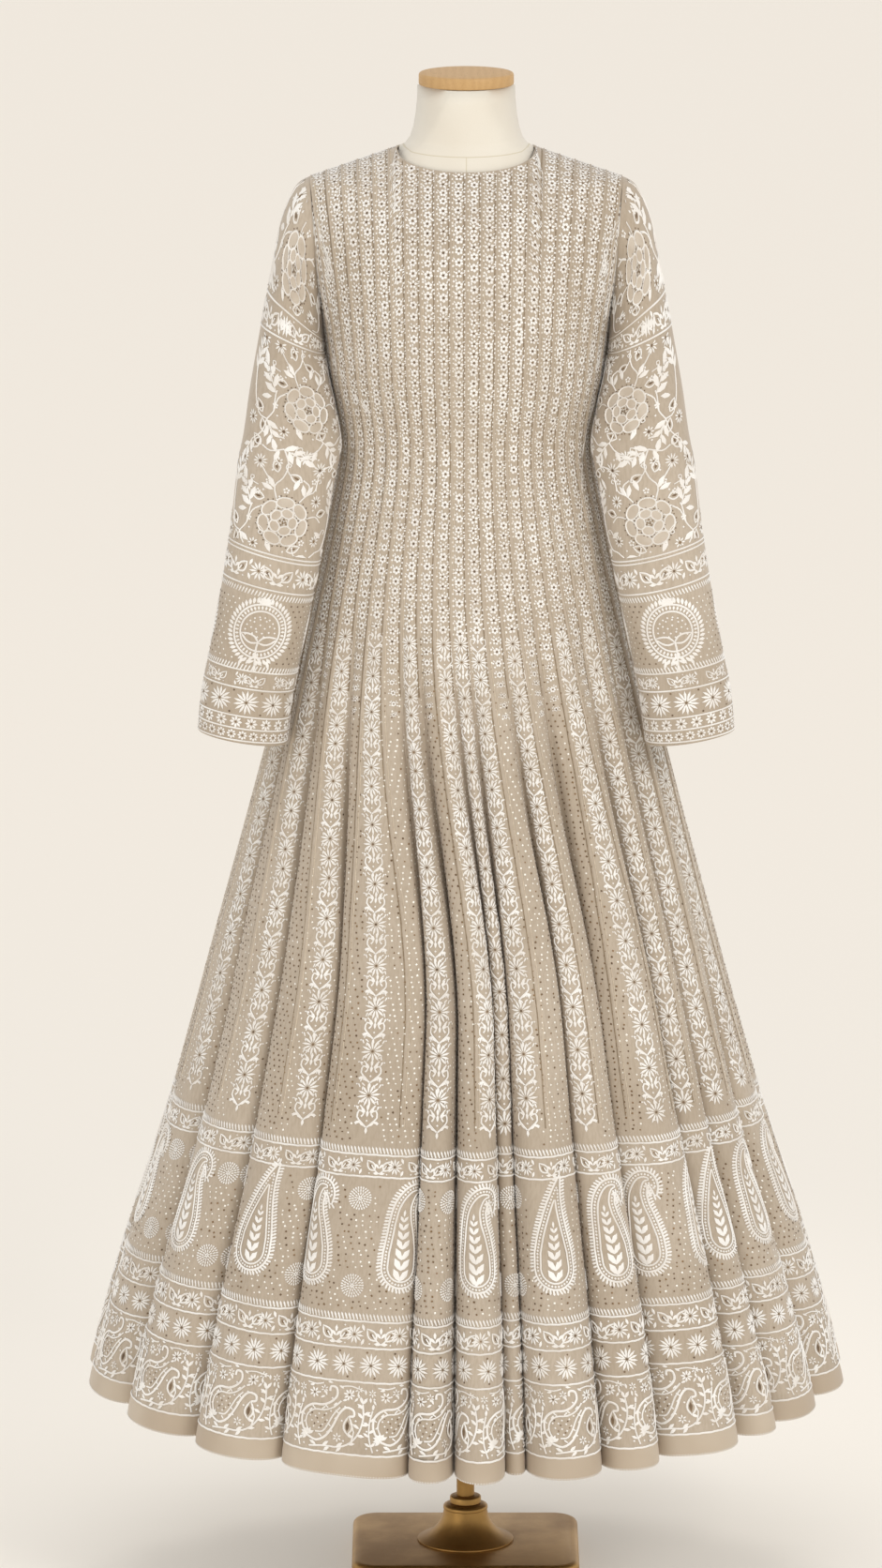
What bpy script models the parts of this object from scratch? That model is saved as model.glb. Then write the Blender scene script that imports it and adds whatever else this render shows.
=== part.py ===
"""Anarkali gown on a limbless dress form with a brass stand, as closed solids.

Metres, +Z up. The front of the gown faces -Y, the wearer's left is +X, and
the stand's base rests on z = 0 with the pole on the Z axis.
"""
import math

import bmesh
import bpy
import numpy as np

for old_object in list(bpy.data.objects):
    bpy.data.objects.remove(old_object, do_unlink=True)

# ---------------------------------------------------------------- driving sizes
FRONT, BACK = -1, 1            # which way a panel faces along Y

WALL = 0.0016                  # cloth with its embroidery
SEAM_GAP = 0.0003              # between two pieces that meet
SLEEVE_GAP = 0.0007            # between a sleeve and its armhole
TUCK = 0.0010                  # height of the raised pin tuck between two columns
FORM_EASE = 0.0006             # between the form and the cloth that rests on it
FORM_DRAWN_IN = 0.0035         # how much further in the form lies at neck and armholes
FORM_DRAWN_ALL = 0.4           # the part of that by which it lies in all over the yoke

COLUMNS = 26                   # kali columns across one panel
MID = COLUMNS / 2
STEPS = 4                      # wall points in one column
NECK_COLUMNS = 4.5             # from the centre front to the side of the neck
SHOULDER_COLUMNS = 10          # from the centre front to the shoulder point

HEM = 0.195                    # height of the hem at the centre front
HEM_RISE = 0.019               # how much higher the hem is at the side seams
HEM_BAND = 0.022               # height of the plain band
RISE_TOP = 0.62                # above this the rows are level
FOLD_TOP = 1.14                # the folds start here
WAIST = 1.235
YOKE = 1.325                   # above this the panel runs up to neck, shoulder and armhole

SWING = 0.180                  # sideways swing of a fold's wall, as a part of its width
SWING_SHARP = 0.0144           # narrows the valleys and broadens the crests
SWING_RATE = 2.5               # how many times faster than the folds the swing grows
SPACING_RATE = 1.9             # and how many times faster the folds take their own widths
DEEPENING = 1.25               # power by which the folds deepen towards the hem
EVEN, EVEN_CUBED = 0.875, 0.125    # spacing of the columns round the waist

NECK_HALF = 0.0735             # half-width of the neck opening
NECK_SIDE = 1.5440             # height of the neck opening at its side
NECK_DROP = {FRONT: 0.0190, BACK: 0.0020}   # how much lower the neckline is in the middle
ARMHOLE_X = 0.1575
ARMHOLE_LEAN = 0.0060          # the armhole's top lies this much further out than its middle
ARMHOLE_Z = 1.4365
ARMHOLE_HIGH = 0.0765          # half its height
ARMHOLE_SPREAD = 0.8           # power that spreads the columns down the armhole

BUTTON_RADIUS = 0.0055
BUTTON_ROW = 0.86              # how far up from the yoke line to the neckline it sits
BUTTON_SIDES = 12

FORM_NECK_DEPTH = 0.053        # half the form's depth at the foot of its neck
NECK_TOP = 1.6100
CAP_RADIUS = 0.0500
CAP_HIGH = 0.0133
POLE_RADIUS = 0.0096
BASE_WIDE, BASE_DEEP, BASE_HIGH, BASE_CORNER = 0.245, 0.212, 0.023, 0.028
CORNER_POINTS = 6

# Rows of a panel's points: heights, then the yoke line plus a part of the way up from it
PANEL_ROWS = (HEM + HEM_BAND, 0.36, 0.52, 0.68, 0.84, 1.00, FOLD_TOP, WAIST, YOKE,
              YOKE + 0.30, YOKE + 0.58, YOKE + 0.80, YOKE + 1.0)
FORM_ROWS = PANEL_ROWS[6:]

# Sections of the gown: height, half-width, depth in front, depth behind. Above the
# armhole's foot the half-width runs out to the shoulder line.
BODY = np.array((
    (0.170, 0.4150, 0.3850, 0.3850),
    (0.217, 0.4045, 0.3740, 0.3740),
    (0.363, 0.3655, 0.3370, 0.3370),
    (0.491, 0.3255, 0.2980, 0.2980),
    (0.606, 0.2945, 0.2670, 0.2650),
    (0.720, 0.2635, 0.2360, 0.2320),
    (0.831, 0.2330, 0.2060, 0.2010),
    (0.950, 0.2010, 0.1740, 0.1690),
    (1.060, 0.1720, 0.1460, 0.1410),
    (1.150, 0.1500, 0.1240, 0.1160),
    (1.235, 0.1355, 0.1080, 0.0980),
    (1.310, 0.1465, 0.1240, 0.1040),
    (1.360, 0.1515, 0.1280, 0.1110),
    (1.400, 0.1610, 0.1255, 0.1120),
    (1.440, 0.1695, 0.1170, 0.1075),
    (1.480, 0.1740, 0.0985, 0.0930),
    (1.500, 0.1720, 0.0830, 0.0790),
    (1.513, 0.1635, 0.0705, 0.0670),
    (1.525, 0.1287, 0.0575, 0.0580),
    (1.544, 0.0735, 0.0400, 0.0480),
))

# Folds at the hem from the right side seam (-X) to the left one (+X):
# columns in the fold, its width in degrees round the hem, how deep the valley on its
# -X side is, how far the fold's own crest lies inside the outline
FRONT_FOLDS = np.array((
    (2, 22.0, 0.030, 0.000),
    (2, 20.0, 0.034, 0.000),
    (2, 17.0, 0.038, 0.000),
    (3, 21.7, 0.040, 0.000),
    (1, 7.3, 0.034, 0.002),
    (2, 8.3, 0.050, 0.000),
    (1, 3.5, 0.046, 0.032),
    (2, 12.5, 0.050, 0.000),
    (2, 10.2, 0.040, 0.004),
    (3, 16.1, 0.052, 0.000),
    (2, 8.8, 0.046, 0.006),
    (2, 15.6, 0.040, 0.000),
    (2, 17.0, 0.036, 0.000),
))
BACK_FOLDS = np.array((
    (2, 16.0, 0.030, 0.000),
    (2, 13.5, 0.038, 0.000),
    (2, 18.5, 0.044, 0.002),
    (2, 12.0, 0.050, 0.000),
    (2, 9.0, 0.040, 0.010),
    (2, 12.5, 0.046, 0.000),
    (2, 11.0, 0.054, 0.000),
    (2, 17.5, 0.044, 0.003),
    (2, 9.5, 0.048, 0.008),
    (2, 14.0, 0.042, 0.000),
    (2, 18.0, 0.040, 0.000),
    (2, 11.5, 0.036, 0.004),
    (2, 17.0, 0.034, 0.000),
))
FOLDS = {FRONT: FRONT_FOLDS, BACK: BACK_FOLDS}

# Rings of the left sleeve from the armhole to the cuff: x and z of the ring's inner and
# outer side, y of its middle, half its depth. The first ring then takes the armhole's edge.
SLEEVE = np.array((
    (0.1518, 1.3600, 0.1638, 1.5130, 0.000, 0.0430),
    (0.1520, 1.3572, 0.1790, 1.5030, 0.000, 0.0450),
    (0.1522, 1.3530, 0.1935, 1.4700, -0.003, 0.0470),
    (0.1522, 1.3460, 0.2035, 1.4220, -0.008, 0.0485),
    (0.1512, 1.3320, 0.2130, 1.3750, -0.017, 0.0495),
    (0.1475, 1.3060, 0.2210, 1.3320, -0.028, 0.0480),
    (0.1400, 1.2720, 0.2280, 1.2920, -0.040, 0.0470),
    (0.1345, 1.2364, 0.2335, 1.2530, -0.052, 0.0460),
    (0.1405, 1.2010, 0.2400, 1.2180, -0.062, 0.0450),
    (0.1520, 1.1390, 0.2478, 1.1550, -0.078, 0.0430),
    (0.1636, 1.0760, 0.2575, 1.0920, -0.089, 0.0420),
    (0.1747, 1.0177, 0.2685, 1.0330, -0.097, 0.0410),
    (0.1838, 0.9683, 0.2783, 0.9840, -0.102, 0.0405),
    (0.1893, 0.9280, 0.2822, 0.9431, -0.105, 0.0400),
))
SLEEVE_SIDES = 20

# The form below the gown's waist, where the skirt stands off: height, half-width, depth
FORM_HIPS = np.array((
    (0.885, 0.1480, 0.1120),
    (0.905, 0.1530, 0.1160),
    (0.980, 0.1600, 0.1220),
    (1.060, 0.1580, 0.1200),
))

# The form's neck above the gown: half-width, half-depth, height
NECK_RINGS = (
    (0.0650, 0.0520, 1.5480),
    (0.0560, 0.0520, 1.5660),
    (0.0525, 0.0510, 1.5880),
    (0.0512, 0.0512, NECK_TOP),
)

# Profile of the button: part of its radius, height
BUTTON = ((0.72, 0.0), (1.0, 0.0016), (0.86, 0.0032), (0.5, 0.0042))

# Upper edge of the base plate: how far in from its outline, height
BASE_EDGE = ((0.0, 0.0), (0.0, BASE_HIGH - 0.006), (0.002, BASE_HIGH - 0.002),
             (0.006, BASE_HIGH))

# Turned profiles: radius, height above the piece's foot
CAP = ((CAP_RADIUS - 0.001, 0.0), (CAP_RADIUS, 0.001),
       (CAP_RADIUS, CAP_HIGH - 0.001), (CAP_RADIUS - 0.001, CAP_HIGH))
COLLAR = ((0.0140, 0.0), (0.0168, 0.0016), (0.0168, 0.0062), (0.0140, 0.0082))
BELL = np.array((
    (0.0520, 0.0000),
    (0.0440, 0.0045),
    (0.0350, 0.0110),
    (0.0270, 0.0210),
    (0.0232, 0.0330),
    (0.0226, 0.0390),
    (0.0190, 0.0410),
))


# ---------------------------------------------------------------- the gown's surface
def body_section(height):
    """Half-width, front depth and back depth of the gown at a height."""
    return [np.interp(height, BODY[:, 0], BODY[:, k]) for k in (1, 2, 3)]


def section_depth(side, x, height):
    """y of the gown above the folds, at a distance x from the middle."""
    wide, front, back = body_section(height)
    deep = front if side == FRONT else back
    return side * deep * math.sqrt(max(0.0, 1.0 - (x / wide) ** 2))


def ease(value, low, high):
    """Smooth step from 0 at low to 1 at high."""
    part = min(max((value - low) / (high - low), 0.0), 1.0)
    return part * part * (3 - 2 * part)


def fold_growth(height):
    """0 where the folds start, 1 at the hem."""
    return np.clip((FOLD_TOP - height) / (FOLD_TOP - HEM), 0.0, 1.0)


def even_angle(column):
    """Angle round the body in degrees, with the columns spaced as at the waist."""
    across = column / MID - 1.0
    return 90.0 * (EVEN * across + EVEN_CUBED * across ** 3)


def fold_state(side, column, height):
    """Angle round the body and distance inside the outline, for a column position."""
    table = FOLDS[side]
    starts = np.concatenate(([0.0], np.cumsum(table[:, 0])))
    angles = -90.0 + np.concatenate(([0.0], np.cumsum(table[:, 1])))
    valleys = np.append(table[:, 2], table[0, 2])
    fold = np.clip(np.searchsorted(starts, column, side="right") - 1, 0, len(table) - 1)
    part = (column - starts[fold]) / table[fold, 0]
    growth = fold_growth(height)

    # the wall swings sideways as it swings in and out, which makes broad crests
    # and narrow valleys
    swing = np.clip(growth * SWING_RATE, 0.0, 1.0)
    sideways = SWING * np.sin(2 * np.pi * part) - SWING_SHARP * np.sin(4 * np.pi * part)
    at_hem = angles[fold] + table[fold, 1] * (part - swing * sideways)
    blend = np.clip(growth * SPACING_RATE, 0.0, 1.0)
    blend = blend * blend * (3 - 2 * blend)
    angle = np.radians(even_angle(column) * (1 - blend) + at_hem * blend)

    valley = np.where(part < 0.5, valleys[fold], valleys[fold + 1])
    in_valley = 0.5 + 0.5 * np.cos(2 * np.pi * part)
    inside = valley * in_valley + table[fold, 3] * (1 - in_valley)
    return angle, inside * growth ** DEEPENING


def skirt_point(side, column, height):
    """A point of the panel below the yoke. The hem end follows the rising hem line."""
    angle, inside = fold_state(side, column, height)
    wide, front, back = body_section(height)
    deep = front if side == FRONT else back
    sine, cosine = np.sin(angle), np.cos(angle)
    normal_x, normal_y = sine / wide, cosine / deep
    length = np.hypot(normal_x, normal_y)
    x = wide * sine - inside * normal_x / length
    y = side * (deep * cosine - inside * normal_y / length)
    growth = np.clip((RISE_TOP - height) / (RISE_TOP - HEM), 0.0, 1.0)
    rise = HEM_RISE * sine ** 2 * growth
    return np.array((x, y, height + rise))


def armhole_point(turn, side):
    """The armhole's edge: turn is 0 at the shoulder point and pi under the arm."""
    x = ARMHOLE_X + ARMHOLE_LEAN * math.cos(turn)
    z = ARMHOLE_Z + ARMHOLE_HIGH * math.cos(turn)
    return np.array((x, section_depth(side, x, z), z))


def top_edge(side, column):
    """Neckline, shoulder seam and armhole: where a column ends at the top."""
    out = abs(column - MID)
    sign = 1.0 if column >= MID else -1.0
    if out <= NECK_COLUMNS:
        turn = math.asin(out / NECK_COLUMNS)
        x = NECK_HALF * math.sin(turn)
        z = NECK_SIDE - NECK_DROP[side] * math.cos(turn)
    elif out <= SHOULDER_COLUMNS:
        part = (out - NECK_COLUMNS) / (SHOULDER_COLUMNS - NECK_COLUMNS)
        x = NECK_HALF + (ARMHOLE_X + ARMHOLE_LEAN - NECK_HALF) * part
        z = NECK_SIDE + (ARMHOLE_Z + ARMHOLE_HIGH - NECK_SIDE) * part
    else:
        turn = math.pi * ((out - SHOULDER_COLUMNS) / (MID - SHOULDER_COLUMNS)) ** ARMHOLE_SPREAD
        x, _, z = armhole_point(turn, side)
    return sign * x, z


def yoke_point(side, column, part):
    """A point between the yoke line (part 0) and the panel's top edge (part 1)."""
    low_x = skirt_point(side, column, YOKE)[0]
    top_x, top_z = top_edge(side, column)
    climb = math.sin(math.pi / 2 * part)
    x = low_x + (top_x - low_x) * climb
    z = YOKE + (top_z - YOKE) * climb
    return np.array((x, section_depth(side, x, z), z))


def panel_point(side, column, row):
    """Rows up to YOKE are heights. Above it, YOKE + 1 is the panel's top edge."""
    if row <= YOKE:
        return skirt_point(side, column, row)
    return yoke_point(side, column, row - YOKE)


def panel_normal(side, column, row):
    """Outward normal of the panel. On a seam that lies in the plane y = 0 it stays in it."""
    step = 0.01
    left, right = max(column - step, 0.0), min(column + step, COLUMNS)
    down, up = row - step * 0.2, min(row + step * 0.2, YOKE + 1.0)
    across = panel_point(side, right, row) - panel_point(side, left, row)
    along = panel_point(side, column, up) - panel_point(side, column, down)
    normal = np.cross(across, along) * -side
    out = abs(column - MID)
    if out >= MID - 1e-6:
        normal[1] = 0.0
    if row >= YOKE + 1.0 - 1e-6 and NECK_COLUMNS <= out <= SHOULDER_COLUMNS:
        fall = NECK_SIDE - ARMHOLE_Z - ARMHOLE_HIGH
        run = ARMHOLE_X + ARMHOLE_LEAN - NECK_HALF
        normal = np.array((math.copysign(fall, column - MID), 0.0, run))
    return normal / np.linalg.norm(normal)


def panel_grid(side, columns, rows, lift=0.0, tuck=0.0):
    """Points of a panel, moved out by lift, with a raised tuck between two columns."""
    grid = np.empty((len(rows), len(columns), 3))
    for j, row in enumerate(rows):
        for i, column in enumerate(columns):
            out = abs(column - MID)
            at_armhole = out > SHOULDER_COLUMNS and row > YOKE + 0.9
            on_tuck = abs(column - round(column)) < 1e-6 and out < MID - 0.5 and not at_armhole
            raised = lift + (tuck if on_tuck else 0.0)
            point = panel_point(side, column, row)
            point = point + panel_normal(side, column, row) * raised
            if abs(point[1]) < 1e-6:
                point[1] = side * SEAM_GAP / 2
            grid[j, i] = point
    return grid


# ---------------------------------------------------------------- making objects
def material(name, colour, rough, metal=0.0):
    made = bpy.data.materials.new(name)
    made.use_nodes = True
    shader = made.node_tree.nodes["Principled BSDF"]
    shader.inputs["Base Color"].default_value = (*colour, 1.0)
    shader.inputs["Roughness"].default_value = rough
    shader.inputs["Metallic"].default_value = metal
    return made


def finish_object(name, mesh_data, look, smooth_angle=40.0):
    """Store a bmesh as an object, closed, facing outwards and shaded smooth."""
    bmesh.ops.recalc_face_normals(mesh_data, faces=mesh_data.faces)
    if mesh_data.calc_volume(signed=True) < 0:
        bmesh.ops.reverse_faces(mesh_data, faces=mesh_data.faces)
    mesh = bpy.data.meshes.new(name)
    mesh_data.to_mesh(mesh)
    mesh_data.free()
    mesh.materials.append(look)
    mesh.shade_smooth()
    mesh.set_sharp_from_angle(angle=math.radians(smooth_angle))
    made = bpy.data.objects.new(name, mesh)
    bpy.context.scene.collection.objects.link(made)
    return made


def wall_between(name, outer, inner, look, closed_across=False):
    """A closed wall from two grids of the same size, rows first."""
    rows, across = outer.shape[:2]
    mesh_data = bmesh.new()
    skins = []
    for grid in (outer, inner):
        skins.append([[mesh_data.verts.new(p) for p in line] for line in grid])
    last = across if closed_across else across - 1
    for skin in skins:
        for j in range(rows - 1):
            for i in range(last):
                k = (i + 1) % across
                mesh_data.faces.new((skin[j][i], skin[j][k], skin[j + 1][k], skin[j + 1][i]))
    out, inn = skins
    for j in (0, rows - 1):
        for i in range(last):
            k = (i + 1) % across
            mesh_data.faces.new((out[j][i], out[j][k], inn[j][k], inn[j][i]))
    if not closed_across:
        for i in (0, across - 1):
            for j in range(rows - 1):
                mesh_data.faces.new((out[j][i], out[j + 1][i], inn[j + 1][i], inn[j][i]))
    return finish_object(name, mesh_data, look)


def turned(name, profile, sides, look, base_height):
    """A solid turned round the pole's axis from a profile of radius and height."""
    mesh_data = bmesh.new()
    rings = []
    for radius, height in profile:
        ring = []
        for k in range(sides):
            turn = 2 * math.pi * k / sides
            ring.append(mesh_data.verts.new((radius * math.cos(turn), radius * math.sin(turn),
                                             base_height + height)))
        rings.append(ring)
    bmesh.ops.contextual_create(mesh_data, geom=rings[0])
    bmesh.ops.contextual_create(mesh_data, geom=rings[-1])
    for low, high in zip(rings, rings[1:]):
        for k in range(sides):
            n = (k + 1) % sides
            mesh_data.faces.new((low[k], low[n], high[n], high[k]))
    return finish_object(name, mesh_data, look)


# ---------------------------------------------------------------- the gown's pieces
def make_panel(name, side, look):
    """One panel from the top of the hem band to neckline, shoulder and armhole."""
    columns = np.linspace(0, COLUMNS, COLUMNS * STEPS + 1)
    outer = panel_grid(side, columns, PANEL_ROWS, tuck=TUCK)
    inner = panel_grid(side, columns, PANEL_ROWS, lift=-WALL)
    return wall_between(name, outer, inner, look)


def make_hem_band(name, side, look):
    """The plain band below a panel."""
    columns = np.linspace(0, COLUMNS, COLUMNS * STEPS + 1)
    rows = (HEM, HEM + HEM_BAND - SEAM_GAP)
    return wall_between(name, panel_grid(side, columns, rows),
                        panel_grid(side, columns, rows, lift=-WALL), look)


def sleeve_grid(lift):
    """Rings of the left sleeve, each moved along its own outward direction."""
    turns = np.linspace(0, 2 * np.pi, SLEEVE_SIDES, endpoint=False)
    grid = np.empty((len(SLEEVE), SLEEVE_SIDES, 3))
    for j, (in_x, in_z, out_x, out_z, middle_y, deep) in enumerate(SLEEVE):
        middle = np.array(((in_x + out_x) / 2, middle_y, (in_z + out_z) / 2))
        half = np.array(((out_x - in_x) / 2, 0.0, (out_z - in_z) / 2))
        wide = np.linalg.norm(half)
        for i, turn in enumerate(turns):
            outward = half / wide * math.cos(turn) * (wide + lift)
            grid[j, i] = middle + outward
            grid[j, i, 1] += math.sin(turn) * (deep + lift)
    for i, turn in enumerate(turns):
        edge = armhole_point(turn, BACK if turn < np.pi else FRONT)
        outward = (edge - (ARMHOLE_X, 0.0, ARMHOLE_Z)) * (0.0, 1.0, 1.0)
        grid[0, i] = edge + outward / np.linalg.norm(outward) * lift
        grid[0, i, 0] += SLEEVE_GAP
    return grid


def make_sleeve(name, mirror, look):
    """A sleeve: mirror is 1 for the wearer's left and -1 for the right."""
    flip = np.array((mirror, 1.0, 1.0))
    return wall_between(name, sleeve_grid(0.0) * flip, sleeve_grid(-WALL) * flip, look,
                        closed_across=True)


def make_button(name, look):
    """The covered button behind the neck, at the top of the back slit."""
    row = YOKE + BUTTON_ROW
    normal = panel_normal(BACK, MID, row)
    base = panel_point(BACK, MID, row) + normal * (TUCK + SEAM_GAP)
    side_way = np.array((1.0, 0.0, 0.0))
    up_way = np.cross(normal, side_way)
    mesh_data = bmesh.new()
    rings = []
    for radius, height in BUTTON:
        ring = []
        for k in range(BUTTON_SIDES):
            turn = 2 * math.pi * k / BUTTON_SIDES
            flat = side_way * math.cos(turn) + up_way * math.sin(turn)
            ring.append(mesh_data.verts.new(base + flat * radius * BUTTON_RADIUS
                                            + normal * height))
        rings.append(ring)
    bmesh.ops.contextual_create(mesh_data, geom=rings[0])
    bmesh.ops.contextual_create(mesh_data, geom=rings[-1])
    for low, high in zip(rings, rings[1:]):
        for k in range(BUTTON_SIDES):
            n = (k + 1) % BUTTON_SIDES
            mesh_data.faces.new((low[k], low[n], high[n], high[k]))
    return finish_object(name, mesh_data, look)


# ---------------------------------------------------------------- the form and its stand
def form_columns():
    """Column positions of the form's points, closer together round the neck."""
    half = list(np.linspace(0.0, NECK_COLUMNS, 7)) + [6.25, 8.0, 10.0, 11.0, 12.0, 13.0]
    return np.array([MID - h for h in reversed(half[1:])] + [MID + h for h in half])


def form_grid(side, columns, rows):
    """Points of the form under a panel, drawn in further by the neck and the armholes."""
    grid = np.empty((len(rows), len(columns), 3))
    for j, row in enumerate(rows):
        for i, column in enumerate(columns):
            out = abs(column - MID)
            drawn_in = ease(out, 8.5, 10.0) + 1.0 - ease(out, 4.5, 6.0)
            depth = WALL + FORM_EASE
            if row > YOKE:
                depth += FORM_DRAWN_IN * (FORM_DRAWN_ALL + (1 - FORM_DRAWN_ALL) * drawn_in)
            grid[j, i] = (panel_point(side, column, row)
                          - panel_normal(side, column, row) * depth)
    return grid


def make_torso(name, look):
    """The covered form: it fills the bodice, ends at the hips and rises to the neck."""
    columns = form_columns()
    front, back = form_grid(FRONT, columns, FORM_ROWS), form_grid(BACK, columns, FORM_ROWS)
    angles = np.radians(even_angle(columns))
    hips_front, hips_back = [], []
    for height, wide, deep in FORM_HIPS:
        x, y = wide * np.sin(angles), deep * np.cos(angles)
        level = np.full_like(x, height)
        hips_front.append(np.stack((x, -y, level), axis=1))
        hips_back.append(np.stack((x, y, level), axis=1))
    mesh_data = bmesh.new()
    for grid in (np.concatenate((hips_front, front)), np.concatenate((hips_back, back))):
        skin = [[mesh_data.verts.new(p) for p in line] for line in grid]
        for low, high in zip(skin, skin[1:]):
            for i in range(len(columns) - 1):
                mesh_data.faces.new((low[i], low[i + 1], high[i + 1], high[i]))
    bmesh.ops.remove_doubles(mesh_data, verts=mesh_data.verts, dist=SEAM_GAP * 1.2)

    open_edges = [e for e in mesh_data.edges if e.is_boundary]
    neck_edges = [e for e in open_edges
                  if min(v.co.z for v in e.verts) > ARMHOLE_Z + ARMHOLE_HIGH
                  and max(abs(v.co.x) for v in e.verts) < NECK_HALF + 0.001]
    for radius_x, radius_y, height in NECK_RINGS:
        grown = bmesh.ops.extrude_edge_only(mesh_data, edges=neck_edges)["geom"]
        neck_edges = [g for g in grown if isinstance(g, bmesh.types.BMEdge) and g.is_boundary]
        for vert in {v for e in neck_edges for v in e.verts}:
            turn = math.atan2(vert.co.y / FORM_NECK_DEPTH, vert.co.x / NECK_HALF)
            vert.co = (radius_x * math.cos(turn), radius_y * math.sin(turn), height)
    bmesh.ops.holes_fill(mesh_data, edges=[e for e in mesh_data.edges if e.is_boundary], sides=0)
    return finish_object(name, mesh_data, look)


def make_base(name, look):
    """The stand's plate: rounded corners and a rounded upper edge."""
    mesh_data = bmesh.new()
    rings = []
    for inset, height in BASE_EDGE:
        ring = []
        for quarter in range(4):
            sign_x = (1, -1, -1, 1)[quarter]
            sign_y = (1, 1, -1, -1)[quarter]
            centre_x = sign_x * (BASE_WIDE / 2 - BASE_CORNER)
            centre_y = sign_y * (BASE_DEEP / 2 - BASE_CORNER)
            for k in range(CORNER_POINTS):
                turn = math.pi / 2 * (quarter + k / (CORNER_POINTS - 1))
                reach = BASE_CORNER - inset
                ring.append(mesh_data.verts.new((centre_x + reach * math.cos(turn),
                                                 centre_y + reach * math.sin(turn), height)))
        rings.append(ring)
    bmesh.ops.contextual_create(mesh_data, geom=rings[0])
    bmesh.ops.contextual_create(mesh_data, geom=rings[-1])
    for low, high in zip(rings, rings[1:]):
        for k in range(len(low)):
            n = (k + 1) % len(low)
            mesh_data.faces.new((low[k], low[n], high[n], high[k]))
    return finish_object(name, mesh_data, look)


def build():
    cloth = material("fine_cotton", (0.55, 0.45, 0.34), 0.85)
    cover = material("cream_cover", (0.86, 0.80, 0.68), 0.9)
    wood = material("pale_wood", (0.64, 0.40, 0.19), 0.45)
    brass = material("aged_brass", (0.42, 0.30, 0.13), 0.35, 1.0)

    make_panel("front_panel", FRONT, cloth)
    make_panel("back_panel", BACK, cloth)
    make_hem_band("hem_band_front", FRONT, cloth)
    make_hem_band("hem_band_back", BACK, cloth)
    make_sleeve("sleeve_left", 1, cloth)
    make_sleeve("sleeve_right", -1, cloth)
    make_button("neck_button", cloth)

    make_torso("form_torso", cover)
    turned("form_cap", CAP, 32, wood, NECK_TOP + SEAM_GAP)

    make_base("stand_base", brass)
    bell_foot = BASE_HIGH + SEAM_GAP
    turned("stand_bell", BELL, 24, brass, bell_foot)
    collar_foot = bell_foot + BELL[-1, 1] + SEAM_GAP
    turned("stand_collar", COLLAR, 24, brass, collar_foot)
    pole_foot = collar_foot + COLLAR[-1][1] + SEAM_GAP
    pole_profile = ((POLE_RADIUS, 0.0), (POLE_RADIUS, FORM_HIPS[0, 0] - SEAM_GAP - pole_foot))
    turned("stand_pole", pole_profile, 16, brass, pole_foot)


build()
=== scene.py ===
"""An embroidered anarkali gown on a covered dress form with a brass stand.

Metres, +Z up. The front of the gown faces -Y and the wearer's left is +X. Places on a
panel are a column, 0 to 26 from the -X side seam to the +X one, and a row: a height up
to the yoke line, and above it the yoke line plus 0 to 1 at the panel's top edge.
"""
import math

import bmesh
import bpy
import numpy as np
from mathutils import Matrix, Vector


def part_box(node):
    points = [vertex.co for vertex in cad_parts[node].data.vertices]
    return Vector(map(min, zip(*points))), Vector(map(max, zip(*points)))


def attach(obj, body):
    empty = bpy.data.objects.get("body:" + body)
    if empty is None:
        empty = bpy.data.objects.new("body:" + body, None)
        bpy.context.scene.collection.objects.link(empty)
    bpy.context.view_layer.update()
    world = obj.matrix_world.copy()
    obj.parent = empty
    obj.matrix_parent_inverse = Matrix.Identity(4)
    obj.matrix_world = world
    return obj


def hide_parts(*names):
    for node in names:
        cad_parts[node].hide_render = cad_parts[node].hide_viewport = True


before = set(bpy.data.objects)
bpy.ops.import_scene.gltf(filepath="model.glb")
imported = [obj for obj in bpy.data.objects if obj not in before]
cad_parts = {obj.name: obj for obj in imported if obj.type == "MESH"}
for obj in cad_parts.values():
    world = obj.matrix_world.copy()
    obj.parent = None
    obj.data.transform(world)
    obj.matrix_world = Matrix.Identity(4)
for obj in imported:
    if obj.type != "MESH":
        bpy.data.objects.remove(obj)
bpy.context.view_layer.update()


# ------------------------------------------------------------------ camera
# Looks slightly down at the whole gown from well in front of it, a little to the
# wearer's right of the middle, so that upright lines stay nearly parallel.
lens = bpy.data.cameras.new("camera")
lens.sensor_fit = "VERTICAL"
lens.sensor_height = 36.0
lens.lens = 220.59
lens.clip_end = 60.0
camera = bpy.data.objects.new("camera", lens)
camera.location = (-0.0265, -10.0, 3.029)
camera.rotation_euler = (math.radians(77.761), 0.0, 0.0)
bpy.context.scene.collection.objects.link(camera)
bpy.context.scene.camera = camera


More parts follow.
